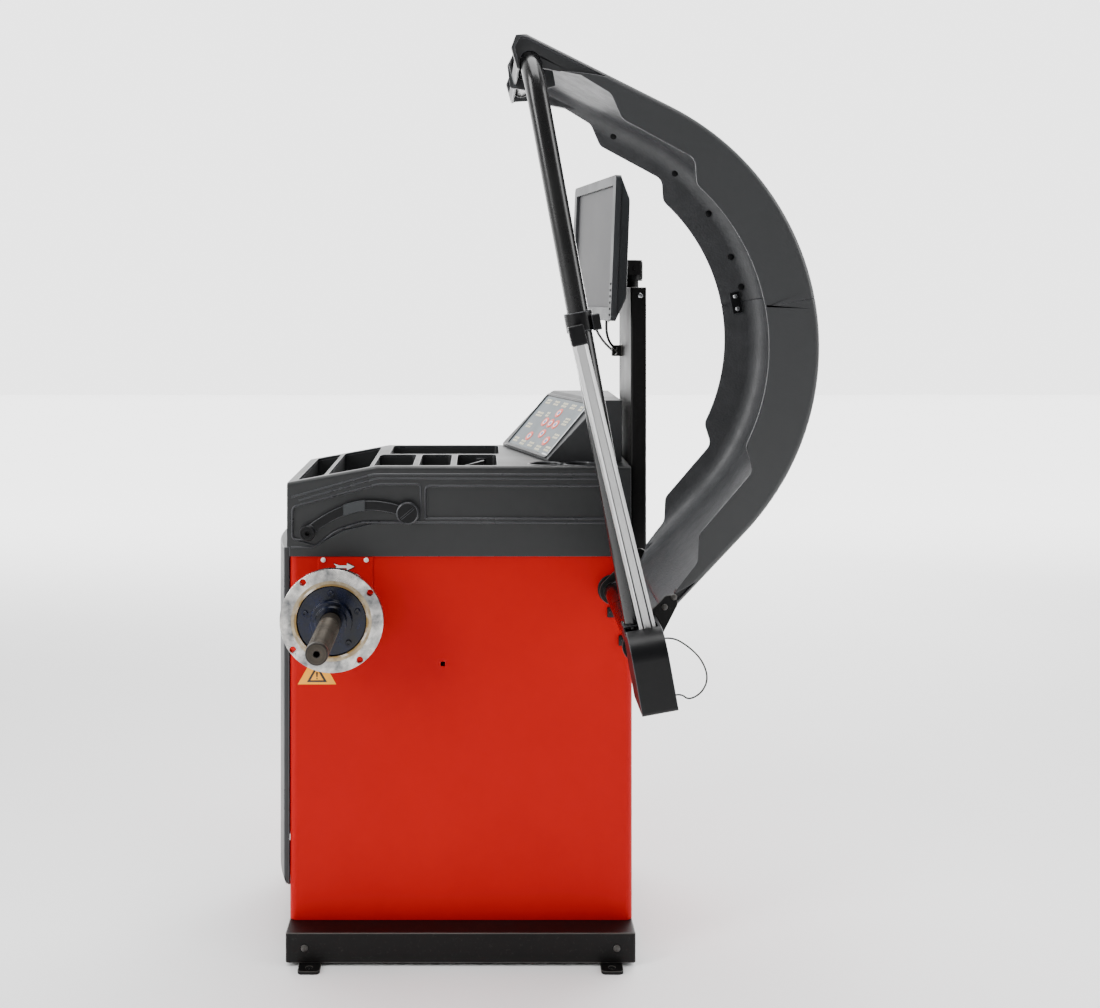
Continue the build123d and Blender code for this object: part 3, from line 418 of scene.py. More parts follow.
def prism(work: bmesh.types.BMesh, outline: list[tuple[float, float]], place: Matrix, depth: float,
          round_mm: float = 0.0) -> None:
    """Add a closed prism.

    Args:
        work: The bmesh that takes it.
        outline: Its outline in millimetres, in the place's own plane.
        place: The plane it stands on.
        depth: Its height along the plane's normal, in millimetres.
        round_mm: Rounding of its upper rim.
    """
    low = [work.verts.new(place @ Vector((x * MM, y * MM, 0))) for x, y in outline]
    high = [work.verts.new(place @ Vector((x * MM, y * MM, depth * MM))) for x, y in outline]
    faces = [work.faces.new(low[::-1]), work.faces.new(high)]
    count = len(outline)
    for i in range(count):
        j = (i + 1) % count
        faces.append(work.faces.new((low[i], low[j], high[j], high[i])))
    if round_mm:
        bmesh.ops.bevel(work, geom=list(faces[1].edges), offset=round_mm * MM, segments=2, affect="EDGES",
                        profile=0.5)


def lathe(work: bmesh.types.BMesh, profile: list[tuple[float, float]], base: Vector, axis: Vector,
          steps: int = 64) -> None:
    """Add a turned shape, closed where its profile meets the axis.

    Args:
        work: The bmesh that takes it.
        profile: Pairs of a radius and a distance along the axis, in millimetres.
        base: Where the distances start, in metres.
        axis: The axis, of unit length.
        steps: Faces round the shape.
    """
    side = axis.orthogonal().normalized()
    other = axis.cross(side)
    rings = []
    for radius, along in profile:
        centre = base + axis * along * MM
        if radius < 1e-6:
            rings.append([work.verts.new(centre)])
            continue
        rings.append([work.verts.new(centre + (side * math.cos(math.tau * i / steps)
                                               + other * math.sin(math.tau * i / steps)) * radius * MM)
                      for i in range(steps)])
    for first, second in zip(rings, rings[1:]):
        for i in range(steps):
            j = (i + 1) % steps
            loop = [first[i % len(first)], first[j % len(first)], second[j % len(second)], second[i % len(second)]]
            unique = list(dict.fromkeys(loop))
            if len(unique) > 2:
                work.faces.new(unique)


def facing(at_mm: tuple[float, float, float], normal: Vector, across: Vector) -> Matrix:
    """A plane at a point.

    Args:
        at_mm: The point, in millimetres.
        normal: The way its z points.
        across: The way its x runs, as near as the normal lets it.

    Returns:
        The plane as a matrix, in metres.
    """
    z = normal.normalized()
    x = (across - z * across.dot(z)).normalized()
    y = z.cross(x)
    rows = Matrix((x, y, z)).transposed().to_4x4()
    return Matrix.Translation(Vector(at_mm) * MM) @ rows


NEAR = (Vector((0, -1, 0)), Vector((1, 0, 0)))


def bead(work: bmesh.types.BMesh, path: list[Vector], radius_mm: float, sides: int = 10) -> None:
    """Add a round moulded bead, closed at its ends.

    Args:
        work: The bmesh that takes it.
        path: Its centre line in metres, in a plane of constant Y.
        radius_mm: Its radius.
        sides: Faces round it.
    """
    rings = []
    for i, spot in enumerate(path):
        along = (path[min(i + 1, len(path) - 1)] - path[max(i - 1, 0)]).normalized()
        across = along.cross(Y_AXIS).normalized()
        rings.append([work.verts.new(spot + (across * math.cos(math.tau * j / sides)
                                             + Y_AXIS * math.sin(math.tau * j / sides)) * radius_mm * MM)
                      for j in range(sides)])
    for first, second in zip(rings, rings[1:]):
        for j in range(sides):
            k = (j + 1) % sides
            work.faces.new((first[j], first[k], second[k], second[j]))
    work.faces.new(rings[0])
    work.faces.new(rings[-1])


def eased(points: list[tuple[float, float]], y: float, corner_mm: float, steps: int = 6) -> list[Vector]:
    """A path with each inner corner rounded.

    Args:
        points: Its corners in X and Z, in millimetres.
        y: The Y of the whole path, in millimetres.
        corner_mm: How far from a corner its rounding starts.
        steps: Pieces of each rounding.

    Returns:
        Places in metres.
    """
    flat = [Vector(p) for p in points]
    out = [flat[0]]
    for before, here, after in zip(flat, flat[1:], flat[2:]):
        into, away = here - before, after - here
        reach = min(corner_mm, into.length * 0.45, away.length * 0.45)
        a, b = here - into.normalized() * reach, here + away.normalized() * reach
        for i in range(steps + 1):
            t = i / steps
            out.append(a * (1 - t) ** 2 + here * 2 * t * (1 - t) + b * t ** 2)
    out.append(flat[-1])
    return [Vector((p.x, y, p.y)) * MM for p in out]


# ---------------------------------------------------------------- repeated shapes
class Repeater:
    """A Geometry Nodes tree that stands one small shape at each of a set of points."""

    def __init__(self) -> None:
        """Build the tree once; each run sets its inputs."""
        tree = bpy.data.node_groups.new("repeat_shape", "GeometryNodeTree")
        face = tree.interface.new_socket
        face(name="Geometry", in_out="INPUT", socket_type="NodeSocketGeometry")
        face(name="Shape", in_out="INPUT", socket_type="NodeSocketObject")
        face(name="Size", in_out="INPUT", socket_type="NodeSocketFloat")
        face(name="Turn Spread", in_out="INPUT", socket_type="NodeSocketFloat")
        face(name="Finish", in_out="INPUT", socket_type="NodeSocketMaterial")
        face(name="Geometry", in_out="OUTPUT", socket_type="NodeSocketGeometry")
        given = add(tree, "NodeGroupInput")
        shape = add(tree, "GeometryNodeObjectInfo", {}, {"Object": given.outputs["Shape"]})
        facing_dir = add(tree, "GeometryNodeInputNamedAttribute", {"data_type": "FLOAT_VECTOR"}, {"Name": "facing"})
        turn = add(tree, "FunctionNodeRandomValue", {"data_type": "FLOAT"}, {
            "Min": 0.0, "Max": given.outputs["Turn Spread"], "Seed": 7})
        upright = add(tree, "FunctionNodeAlignRotationToVector", {"axis": "Z"}, {
            "Vector": facing_dir.outputs["Attribute"]})
        across_dir = add(tree, "GeometryNodeInputNamedAttribute", {"data_type": "FLOAT_VECTOR"}, {"Name": "across"})
        level = add(tree, "FunctionNodeAlignRotationToVector", {"axis": "X", "pivot_axis": "Z"}, {
            "Rotation": upright.outputs[0], "Vector": across_dir.outputs["Attribute"]})
        spin = add(tree, "FunctionNodeAxisAngleToRotation", {}, {
            "Axis": (0.0, 0.0, 1.0), "Angle": turn.outputs[1]})
        both = add(tree, "FunctionNodeRotateRotation", {"rotation_space": "LOCAL"}, {
            "Rotation": level.outputs[0], "Rotate By": spin.outputs[0]})
        copies = add(tree, "GeometryNodeInstanceOnPoints", {}, {
            "Points": given.outputs["Geometry"], "Instance": shape.outputs["Geometry"],
            "Rotation": both.outputs[0], "Scale": given.outputs["Size"]})
        real = add(tree, "GeometryNodeRealizeInstances", {}, {"Geometry": copies.outputs[0]})
        dressed = add(tree, "GeometryNodeSetMaterial", {}, {
            "Geometry": real.outputs[0], "Material": given.outputs["Finish"]})
        add(tree, "NodeGroupOutput", {}, {0: dressed.outputs[0]})
        self.tree = tree

    def run(self, name: str, shape: bpy.types.Mesh, spots: list[tuple[Vector, ...]], finish: Finish,
            body: str, slot: str, size: float = 1.0, turn: float = 0.0, *nodes: str) -> bpy.types.Object:
        """Stand the shape at each spot and keep the result as one plain piece.

        Args:
            name: The piece's name.
            shape: The shape's mesh, at the origin, facing +Z.
            spots: A place in metres and the way the shape faces there, and if it matters the way of its X axis.
            finish: The finish of all copies.
            body: The CAD body the piece rides on.
            slot: Its material slot.
            size: Scale of each copy.
            turn: Most that a copy is turned about its own axis, in radians.
            nodes: CAD nodes that the piece stands for.

        Returns:
            The piece.
        """
        points = bpy.data.meshes.new(name + "_points")
        points.from_pydata([tuple(spot[0]) for spot in spots], [], [])
        ways = [points.attributes.new(word, "FLOAT_VECTOR", "POINT") for word in ("facing", "across")]
        for i, spot in enumerate(spots):
            for layer, way in zip(ways, spot[1:]):
                layer.data[i].vector = way
        holder = bpy.data.objects.new(name + "_work", points)
        sample = bpy.data.objects.new(name + "_sample", shape)
        for obj in (holder, sample):
            bpy.context.scene.collection.objects.link(obj)
        modifier = holder.modifiers.new("repeat", "NODES")
        modifier.node_group = self.tree
        wanted = {"Shape": sample, "Size": size, "Turn Spread": turn, "Finish": finish.material()}
        for item in self.tree.interface.items_tree:
            if item.in_out == "INPUT" and item.name in wanted:
                modifier[item.identifier] = wanted[item.name]
        graph = bpy.context.evaluated_depsgraph_get()
        mesh = bpy.data.meshes.new_from_object(holder.evaluated_get(graph))
        for obj in (holder, sample):
            bpy.data.objects.remove(obj)
        return piece(name, tidy(mesh), finish, body, slot, *nodes)


def screw_head(radius: float, height: float, arms: int = 4) -> bpy.types.Mesh:
    """A domed screw head with a raised cross, facing +Z.

    Args:
        radius: Its radius in millimetres.
        height: Its height in millimetres.
        arms: Arms of the cross.

    Returns:
        The mesh.
    """
    work = bmesh.new()
    dome = [(radius * math.cos(t), height * (0.35 + 0.65 * math.sin(t)))
            for t in [math.radians(a) for a in (0, 18, 36, 54)]]
    lathe(work, [(0, 0), (radius, 0)] + dome + [(radius * 0.42, height), (0, height)], Vector(), Z_AXIS, 20)
    for i in range(arms // 2):
        slot = Matrix.Rotation(math.pi * i / (arms // 2), 4, "Z") @ Matrix.Translation((0, 0, height * MM))
        reach, wide = radius * 0.5, radius * 0.11
        prism(work, [(-reach, -wide), (reach, -wide), (reach, wide), (-reach, wide)], slot, 0.06 * height)
    return from_bm(work, "screw_head")


REPEAT = Repeater()


# ---------------------------------------------------------------- cords
@dataclass(frozen=True)
class Cord:
    """A short fixed cable, both of whose ends go into the machine. Points are millimetres, length is metres."""

    name: str
    body: str
    diameter_mm: float
    length: float
    stiffness: str
    points: tuple[tuple[float, float, float], ...]

    def build(self) -> None:
        curve = bpy.data.curves.new(self.name, "CURVE")
        curve.dimensions = "3D"
        curve.bevel_depth = self.diameter_mm / 2 * MM
        curve.bevel_resolution = 5
        curve.resolution_u = 16
        curve.use_fill_caps = True
        line = curve.splines.new("NURBS")
        line.points.add(len(self.points) - 1)
        for spot, (x, y, z) in zip(line.points, self.points):
            spot.co = (x * MM, y * MM, z * MM, 1.0)
        line.order_u = 3
        line.use_endpoint_u = True
        obj = bpy.data.objects.new(self.name + "_line", curve)
        bpy.context.scene.collection.objects.link(obj)
        curve.materials.append(CABLE_PVC.material())
        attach(obj, self.body)
        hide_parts(self.name)


CORDS = (
    Cord("monitor_cable_a", "machine", 5.0, 0.1084, "limp", (
        (269.4, -44.7, 1131.6), (268.6, -44.8, 1111.6), (269.5, -37, 1090), (277, -22, 1071), (288.5, -6, 1061),
        (291, 13, 1059))),
    Cord("monitor_cable_b", "machine", 5.0, 0.1097, "limp", (
        (254.0, 62.3, 1131.6), (253.2, 62.2, 1111.6), (259, 56, 1092), (270, 46, 1073), (284, 34, 1058),
        (291, 15, 1051))),
    Cord("width_cable", "hood", 2.5, 0.1633, "limp", (
        (296.07, -640, 664.97), (310.83, -640, 667.65), (334, -648, 655), (352, -654, 637), (360, -657, 612),
        (351, -653, 590), (333, -646, 578), (323.70, -640, 585.63), (310.91, -640, 583.31))),
)


# ---------------------------------------------------------------- studio
@dataclass
class Studio:
    """A pale seamless floor, soft lights and the camera."""

    lens_mm: float = 46.87
    place: tuple[float, float, float] = (0.030, -2.707, 1.161)
    shift: tuple[float, float] = (0.0655, -0.190)
    front_glow: float = 0.26
    back_glow: float = 3.2

    def camera(self) -> None:
        """Stand the camera level in front of the spindle's side."""
        data = bpy.data.cameras.new("camera")
        data.lens = self.lens_mm
        data.sensor_width = 36.0
        data.shift_x, data.shift_y = self.shift
        data.clip_end = 60
        obj = bpy.data.objects.new("camera", data)
        obj.location = self.place
        obj.rotation_euler = (math.pi / 2, 0, 0)
        bpy.context.scene.collection.objects.link(obj)
        bpy.context.scene.camera = obj

    def light(self, name: str, place: tuple[float, float, float], aim: tuple[float, float, float], watts: float,
              size: tuple[float, float], spread_deg: float = 180.0) -> None:
        """Add one soft box.

        Args:
            name: The light's name.
            place: Where it hangs, in metres.
            aim: The point it faces.
            watts: Its power.
            size: Its width and height in metres.
            spread_deg: The angle its beam opens to.
        """
        data = bpy.data.lights.new(name, "AREA")
        data.shape = "RECTANGLE"
        data.size, data.size_y = size
        data.energy = watts
        data.spread = math.radians(spread_deg)
        obj = bpy.data.objects.new(name, data)
        obj.location = place
        obj.rotation_euler = (Vector(aim) - Vector(place)).to_track_quat("-Z", "Y").to_euler()
        bpy.context.scene.collection.objects.link(obj)

    def build(self) -> None:
        """Floor, lights and a white surround."""
        work = bmesh.new()
        bmesh.ops.create_grid(work, x_segments=8, y_segments=8, size=14)
        mesh = bpy.data.meshes.new("floor")
        work.to_mesh(mesh)
        work.free()
        mesh.materials.append(FLOOR_PAINT.material())
        floor = bpy.data.objects.new("floor", mesh)
        bpy.context.scene.collection.objects.link(floor)
        self.light("key_left", (-2.8, -1.9, 2.3), (0, 0, 0.8), 105, (1.2, 2.6))
        self.light("fill_right", (3.0, -1.2, 2.0), (0.2, 0, 0.9), 50, (1.2, 2.4))
        self.light("top", (0.2, -0.6, 3.6), (0.1, 0, 0.9), 95, (2.2, 2.2))
        self.light("rim_back", (1.6, 2.4, 2.2), (0.1, 0, 0.9), 60, (1.6, 2.0))
        self.light("far_floor", (0, 9.0, 5.0), (0, 9.0, 0), 2200, (20, 12), 50)
        world = bpy.data.worlds.new("surround")
        world.use_nodes = True
        tree = world.node_tree
        tree.nodes.clear()
        way = add(tree, "ShaderNodeSeparateXYZ", {}, {0: add(tree, "ShaderNodeTexCoord").outputs["Generated"]})
        behind = add(tree, "ShaderNodeMapRange", {"interpolation_type": "SMOOTHSTEP"}, {
            "Value": way.outputs[1], "From Min": -0.15, "From Max": 0.75, "To Min": self.front_glow,
            "To Max": self.back_glow})
        glow = add(tree, "ShaderNodeBackground", {}, {"Color": linear("FFFFFF"), "Strength": behind.outputs[0]})
        add(tree, "ShaderNodeOutputWorld", {}, {0: glow.outputs[0]})
        bpy.context.scene.world = world


# ---------------------------------------------------------------- sub-assemblies
@dataclass
class BaseUnit:
    """The plinth, cabinet and its covers."""

    panel_y: float = -180.0
    pivot: tuple[float, float] = (267.0, 642.0)

    def build(self) -> None:
        """Dress the sheet metal, then add its fixings and marks."""
        carry("foot_bars", BLACK_PAINT, "machine", "black_steel", 0.8, BLACK_PAINT_HIGHLIGHT)
        carry("plinth", BLACK_PAINT, "machine", "black_steel", 1.6, BLACK_PAINT_HIGHLIGHT, 3)
        carry("cabinet", RED_COAT, "machine", "red_panel", 0.7, RED_EDGE_WEAR_AND_HIGHLIGHT)
        carry("rear_panel", RED_COAT, "machine", "red_panel", 0.6, RED_EDGE_WEAR_AND_HIGHLIGHT)
        carry("access_plate", RED_COAT, "machine", "red_panel", 0.5, RED_EDGE_WEAR_AND_HIGHLIGHT)
        carry("front_cover", ABS_FINE, "machine", "black_plastic", 2.0, ABS_HIGHLIGHT, 3)
        self.marks()
        self.fixings()

    def mark(self, name: str, outline: list[tuple[float, float]], lift: float, finish: Finish, slot: str) -> None:
        """A thin flat mark on the near panel.

        Args:
            name: The piece's name.
            outline: Its outline in machine X and Z, in millimetres.
            lift: How far it stands off the panel, in millimetres.
            finish: Its finish.
            slot: Its material slot.
        """
        work = bmesh.new()
        prism(work, outline, facing((0, self.panel_y - lift, 0), *NEAR), 0.25, 0.08)
        piece(name, from_bm(work, name), finish, "machine", slot)

    def marks(self) -> None:
        """The direction arrow and the caution triangle."""
        x, z = -206.0, 682.0
        arrow = [(-18, -5.6), (-9, -2.2), (5, -2.2), (5, -6.2), (18, 0), (5, 6.2), (5, 2.2), (-9, 2.2), (-18, 5.6),
                 (-13, 0)]
        self.mark("direction_arrow_edge", [(x + a * 1.12, z + b * 1.35) for a, b in arrow], 2.02, LABEL_BLACK,
                  "red_panel")
        self.mark("direction_arrow", [(x + a, z + b) for a, b in arrow], 2.3, LABEL_WHITE, "red_panel")
        base, apex = 474.0, (-254.0, 534.0)
        self.mark("caution_triangle", [(-288, base), (-220, base), apex], 0.02, LABEL_YELLOW, "red_panel")
        self.mark("caution_sign", [(-272, base + 4), (-236, base + 4), (-254, base + 35)], 0.3, LABEL_BLACK,
                  "red_panel")
        self.mark("caution_sign_inner", [(-265.5, base + 7.5), (-242.5, base + 7.5), (-254, base + 27.5)], 0.6,
                  LABEL_YELLOW, "red_panel")
        self.mark("caution_stroke", [(-255.2, base + 13), (-252.8, base + 13), (-252.2, base + 22),
                                     (-255.8, base + 22)], 0.9, LABEL_BLACK, "red_panel")
        self.mark("caution_dot", [(-254 + 1.3 * math.cos(a), base + 10.4 + 1.3 * math.sin(a))
                                  for a in [math.tau * i / 14 for i in range(14)]], 0.9, LABEL_BLACK, "red_panel")

    def fixings(self) -> None:
        """Screws, clips and bolt heads."""
        near = Vector((0, -1, 0))
        plate = [(Vector((x, -183, 694)) * MM, near) for x in (-242.6, -166.8)]
        REPEAT.run("plate_screws", screw_head(4.2, 2.4), plate, NYLON_WHITE, "machine", "red_panel", 1.0, 1.2)
        rear = [(Vector((305.2, y, z)) * MM, Vector((1, 0, 0))) for y in (-112, 112) for z in (250, 405, 560)]
        REPEAT.run("rear_panel_screws", screw_head(5, 3), rear, ZINC, "machine", "red_panel", 1.0, 1.5)
        side = [(Vector((x, s * 231.8, 32)) * MM, Vector((0, s, 0))) for x in (-270, 270) for s in (-1, 1)]
        REPEAT.run("plinth_screws", screw_head(6, 3.2), side, BLACK_PAINT_HIGHLIGHT, "machine", "black_steel", 1.0, 1.5)
        for i, (x, z) in enumerate(((265, 602), (285, 552))):
            work = bmesh.new()
            prism(work, [(-7, -9), (7, -9), (9, -4), (9, 7), (3, 11), (-7, 8)], facing((x, -180, z), *NEAR), 5.5, 1.2)
            lathe(work, [(0, 4), (3.4, 4), (3.4, 8), (2.2, 9), (0, 9)], Vector((x, -180, z)) * MM, near, 24)
            piece(f"cable_clip_{i + 1}", from_bm(work, "clip"), ABS_DARK, "machine", "black_plastic")
        work = bmesh.new()
        px, pz = self.pivot
        grommet = [(20.2, 0), (25.5, 0), (26, 0.8), (25, 1.8), (21.4, 2.2), (20.2, 1.4), (20.2, 0)]
        lathe(work, grommet, Vector((px, self.panel_y, pz)) * MM, near, 64)
        piece("pivot_grommet", from_bm(work, "grommet"), ABS_DARK, "machine", "black_plastic")


@dataclass
class SpindleUnit:
    """The balancing spindle with its flange and hub."""

    x: float = -219.5
    z: float = 605.7
    pitch: float = 3.0
    thread_y: float = -322.0
    thread_run: float = 166.0

    def build(self) -> None:
        """Dress the turned parts and cut the look of the thread."""
        carry("spindle_flange", TURNED_STEEL, "spindle", "machined_steel", 1.0, TURNED_STEEL, 3)
        carry("spindle_hub", BLUE_CASTING, "spindle", "blue_casting", 1.6, BLUE_CASTING, 3)
        carry("spindle_shaft", SHAFT_STEEL, "spindle", "machined_steel", 0.8, TIP_STEEL, 3)
        base, near = Vector((self.x, 0, self.z)) * MM, Vector((0, -1, 0))
        work = bmesh.new()
        lathe(work, [(17.7, -1.0), (18.42, -0.3), (18.42, 0.3), (17.7, 1.0), (17.7, -1.0)], Vector(),
              Z_AXIS, 48)
        turns = [(base + Vector((0, self.thread_y - i * self.pitch, 0)) * MM, near)
                 for i in range(int(self.thread_run / self.pitch))]
        REPEAT.run("spindle_thread", from_bm(work, "thread", 20), turns, SHAFT_STEEL, "spindle", "machined_steel")
        work = bmesh.new()
        lathe(work, [(60.2, -258.05), (64.0, -270.25), (68.5, -270.25), (66.5, -269.6), (60.2, -258.05)], base,
              Y_AXIS, 96)
        piece("flange_worn_ring", from_bm(work, "worn_ring"), STAINED_STEEL, "spindle", "machined_steel")
        bolts = [(Vector((self.x + 47 * math.cos(a), -267.0, self.z + 47 * math.sin(a))) * MM, near)
                 for a in [math.radians(20 + 72 * i) for i in range(5)]]
        work = bmesh.new()
        lathe(work, [(0, 0), (4.6, 0), (4.9, 0.6), (4.9, 3.4), (4.1, 4.2), (2.6, 4.2), (2.6, 1.6), (0, 1.6)],
              Vector(), Z_AXIS, 24)
        REPEAT.run("hub_bolts", from_bm(work, "cap_screw"), bolts, BLUE_CASTING, "spindle", "blue_casting", 1.0, 1.0)


@dataclass
class InnerUnit:
    """The drive, sensors, boards and bearings, which keep their CAD shape and only take a finish."""

    groups: tuple[tuple[Finish, str], ...] = (
        (PLAIN_STEEL, "bearing_housing motor_pulley driven_pulley gauge_guide hood_bearings"),
        (ZINC, "spindle_bearings piezo_sensors motor_shaft encoder_disc"),
        (BELT_RUBBER, "drive_belt"),
        (BLACK_PAINT, "vibration_column sensor_bracket motor_bracket hood_stop_plate monitor_bracket gauge_rod"),
        (ABS_DARK, "encoder_sensor computer_box mains_inlet power_rocker gauge_reel hood_limit_switch width_pot"),
        (MOTOR_PAINT, "motor_body"),
        (BOARD, "power_board keypad_board"))

    def build(self) -> None:
        """Give each node its finish."""
        for finish, nodes in self.groups:
            for node in nodes.split():
                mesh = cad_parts[node].data
                mesh.materials.clear()
                mesh.materials.append(finish.material())


@dataclass
class TrayUnit:
    """The weight tray with its bins, and the distance gauge at its side."""

    side_y: float = 183.0
    boss: tuple[float, float] = (-269.0, 743.0)
    knob: tuple[float, float] = (-93.5, 778.0)
    beads: tuple[tuple[float, tuple[tuple[float, float], ...]], ...] = (
        (2.2, ((-299, 804.5), (-156, 845), (270, 845))),
        (2.0, ((-286, 799), (-150, 837.5), (-81, 837.5), (270, 837))),
        (1.8, ((-270, 729.9), (-297.5, 729.9), (-297.5, 787.7), (-146, 828.2), (-70.5, 828.2), (-70.5, 772))),
        (1.8, ((-63, 766.8), (-63, 825), (262, 825), (262, 766.8), (-63, 766.8))),
        (2.2, ((-299.5, 716.9), (-258.2, 716.9), (-218.8, 746.4), (-175.6, 760.1), (-73.3, 760.1), (268, 759.5))))

    def build(self) -> None:
        """Dress the mouldings, then the gauge."""
        carry("weight_tray", ABS_FINE, "machine", "black_plastic", 1.1, ABS_HIGHLIGHT, 3)
        carry("tray_bins", ABS_FINE, "machine", "black_plastic", 0.8, ABS_HIGHLIGHT)
        carry("gauge_arm", ABS_DARK, "gauge_arm", "black_plastic", 1.4, ABS_HIGHLIGHT, 3)
        carry("gauge_knob", ABS_DARK, "gauge_arm", "black_plastic", 1.6, ABS_HIGHLIGHT, 3)
        carry("gauge_grip", ABS_GREY, "gauge_arm", "black_plastic", 1.2, ABS_GREY, 3)
        # Moulded beads along both sides, in the lighter edge finish: a painted highlight along each ridge.
        for side, word in ((-1, "near"), (1, "far")):
            work = bmesh.new()
            for radius, points in self.beads:
                bead(work, eased(list(points), side * (self.side_y - 0.5), 9), radius)
            piece(f"tray_beads_{word}", from_bm(work, "beads", 40), ABS_HIGHLIGHT, "machine", "black_plastic")
        self.gauge_details()
        self.cone_rims()

    def gauge_details(self) -> None:
        """The pivot boss with its socket, and the slot across the knob with a ring round it."""
        near = Vector((0, -1, 0))
        x, z = self.boss
        work = bmesh.new()
        lathe(work, [(11.2, 193.2), (13.6, 193.2), (13.8, 194.0), (13.6, 198.0), (12.4, 199.2), (10.4, 199.2),
                     (9.6, 198.2), (6.2, 198.2), (5.6, 199.0), (4.4, 199.0), (4.2, 197.2), (11.2, 197.2),
                     (11.2, 193.2)], Vector((x, 0, z)) * MM, near, 48)
        piece("gauge_boss", from_bm(work, "boss"), ABS_DARK, "gauge_arm", "black_plastic")
        x, z = self.knob
        work = bmesh.new()
        spin = facing((x, -196.4, z), *NEAR) @ Matrix.Rotation(math.radians(40), 4, "Z")
        prism(work, [(-15, -2.1), (15, -2.1), (15, -1.1), (-15, -1.1)], spin, 0.7, 0.2)
        prism(work, [(-15, 1.1), (15, 1.1), (15, 2.1), (-15, 2.1)], spin, 0.7, 0.2)
        lathe(work, [(17.2, 0), (18.6, 0), (18.6, 0.9), (17.9, 1.3), (17.2, 0.9), (17.2, 0)],
              Vector((x, -196.3, z)) * MM, near, 56)
        piece("gauge_knob_slot", from_bm(work, "slot"), ABS_HIGHLIGHT, "gauge_arm", "black_plastic")

    def cone_rims(self) -> None:
        """Rolled rims round the two cone wells."""
        work = bmesh.new()
        for x in (150, 214):
            lathe(work, [(27.2, 858.6), (27.4, 859.6), (28.6, 860.4), (30.4, 860.2), (31.6, 859.2), (31.8, 858.6),
                         (27.2, 858.6)], Vector((x, -146, 0)) * MM, Z_AXIS, 56)
        piece("cone_well_rims", from_bm(work, "rims"), ABS_HIGHLIGHT, "machine", "black_plastic")


@dataclass
class ConsoleUnit:
    """The keypad console."""

    low_a: tuple[float, float] = (87.6, 138.0)
    low_b: tuple[float, float] = (155.0, -102.0)
    low_z: float = 865.0
    rise: float = 97.0
    slope_deg: float = 48.0
    blocks: tuple[tuple[float, float, int, int], ...] = (
        (0.13, 0.9, 3, 2), (0.33, 0.9, 3, 2), (0.53, 0.9, 3, 2), (0.73, 0.9, 3, 2), (0.91, 0.9, 2, 2),
        (0.16, 0.64, 4, 2), (0.34, 0.67, 2, 2), (0.13, 0.4, 3, 2), (0.83, 0.62, 3, 3), (0.87, 0.34, 3, 2),
        (0.10, 0.1, 3, 2), (0.30, 0.08, 3, 2), (0.50, 0.09, 3, 2), (0.70, 0.07, 3, 2), (0.90, 0.1, 3, 2))
    menu_keys: tuple[tuple[float, float], ...] = (
        (0.545, 0.53), (0.41, 0.53), (0.67, 0.53), (0.546, 0.74), (0.55, 0.32), (0.326, 0.22), (0.748, 0.22))

    def face(self) -> Matrix:
        """The keypad's plane: x from left to right along the slope, y up it, z out of it."""
        (ax, ay), (bx, by) = self.low_a, self.low_b
        along = Vector((bx - ax, by - ay, 0)).normalized()
        back = Vector((-along.y, along.x, 0))
        lean = math.radians(self.slope_deg)
        up = back * math.cos(lean) + Vector((0, 0, math.sin(lean)))
        if up.x < 0:
            up = -back * math.cos(lean) + Vector((0, 0, math.sin(lean)))
        normal = along.cross(up)
        middle = Vector(((ax + bx) / 2, (ay + by) / 2, self.low_z)) + up * (self.rise / math.sin(lean) / 2)
        return facing(tuple(middle), normal, along)

    def build(self) -> None:
        """Dress the housing and print the keys."""
        carry("console", CONSOLE_TOP, "machine", "black_plastic", 1.4, ABS_HIGHLIGHT, 3)
        carry("keypad_overlay", OVERLAY, "machine", "overlay", 0.3, OVERLAY)
        self.keys()

    def keys(self) -> None:
        """Print the blocks of small keys and the round menu keys, each a thin raised pad."""
        place = self.face()
        across, normal = place.col[0].to_3d(), place.col[2].to_3d()
        wide, high, lift = 240.0, 122.0, 0.8
        spots = []
        for bx, by, columns, rows in self.blocks:
            for i in range(columns):
                for j in range(rows):
                    x = (bx - 0.5) * wide + (i - (columns - 1) / 2) * 9.0
                    y = (by - 0.5) * high + (j - (rows - 1) / 2) * 6.4
                    spots.append((place @ (Vector((x, y, lift)) * MM), normal, across))
        work = bmesh.new()
        flat = Matrix.Identity(4)
        prism(work, [(-3.4, -2.2), (3.4, -2.2), (3.4, 2.2), (-3.4, 2.2)], flat, 0.35, 0.12)
        REPEAT.run("keypad_blocks", from_bm(work, "pad"), spots, KEY_PALE, "machine", "overlay")
        rings, faces, centres = bmesh.new(), bmesh.new(), bmesh.new()
        for ax, ay in self.menu_keys:
            centre = Vector(((ax - 0.5) * wide, (ay - 0.5) * high))
            for work, rx, ry, level, depth in ((rings, 13.2, 10.6, lift, 0.4), (faces, 7.4, 5.6, lift + 0.3, 0.35),
                                               (centres, 4.2, 3.4, lift + 0.6, 0.3)):
                oval = [(centre.x + rx * math.cos(math.tau * i / 32), centre.y + ry * math.sin(math.tau * i / 32))
                        for i in range(32)]
                prism(work, oval, place @ Matrix.Translation((0, 0, level * MM)), depth, 0.12)
        for word, work, finish in (("rings", rings, KEY_ORANGE), ("faces", faces, LABEL_WHITE),
                                   ("centres", centres, KEY_BLUE)):
            piece("menu_key_" + word, from_bm(work, word), finish, "machine", "overlay")
        work = bmesh.new()
        prism(work, [(121.0, -58), (124.4, -58), (124.4, 62), (121.0, 62)],
              place @ Matrix.Translation((0, 0, 2.2 * MM)), 1.1, 0.3)
        prism(work, [(96, -62.6), (124.4, -62.6), (124.4, -59.6), (96, -59.6)],
              place @ Matrix.Translation((0, 0, 2.2 * MM)), 1.1, 0.3)
        piece("keypad_trim", from_bm(work, "trim"), ZINC, "machine", "overlay")


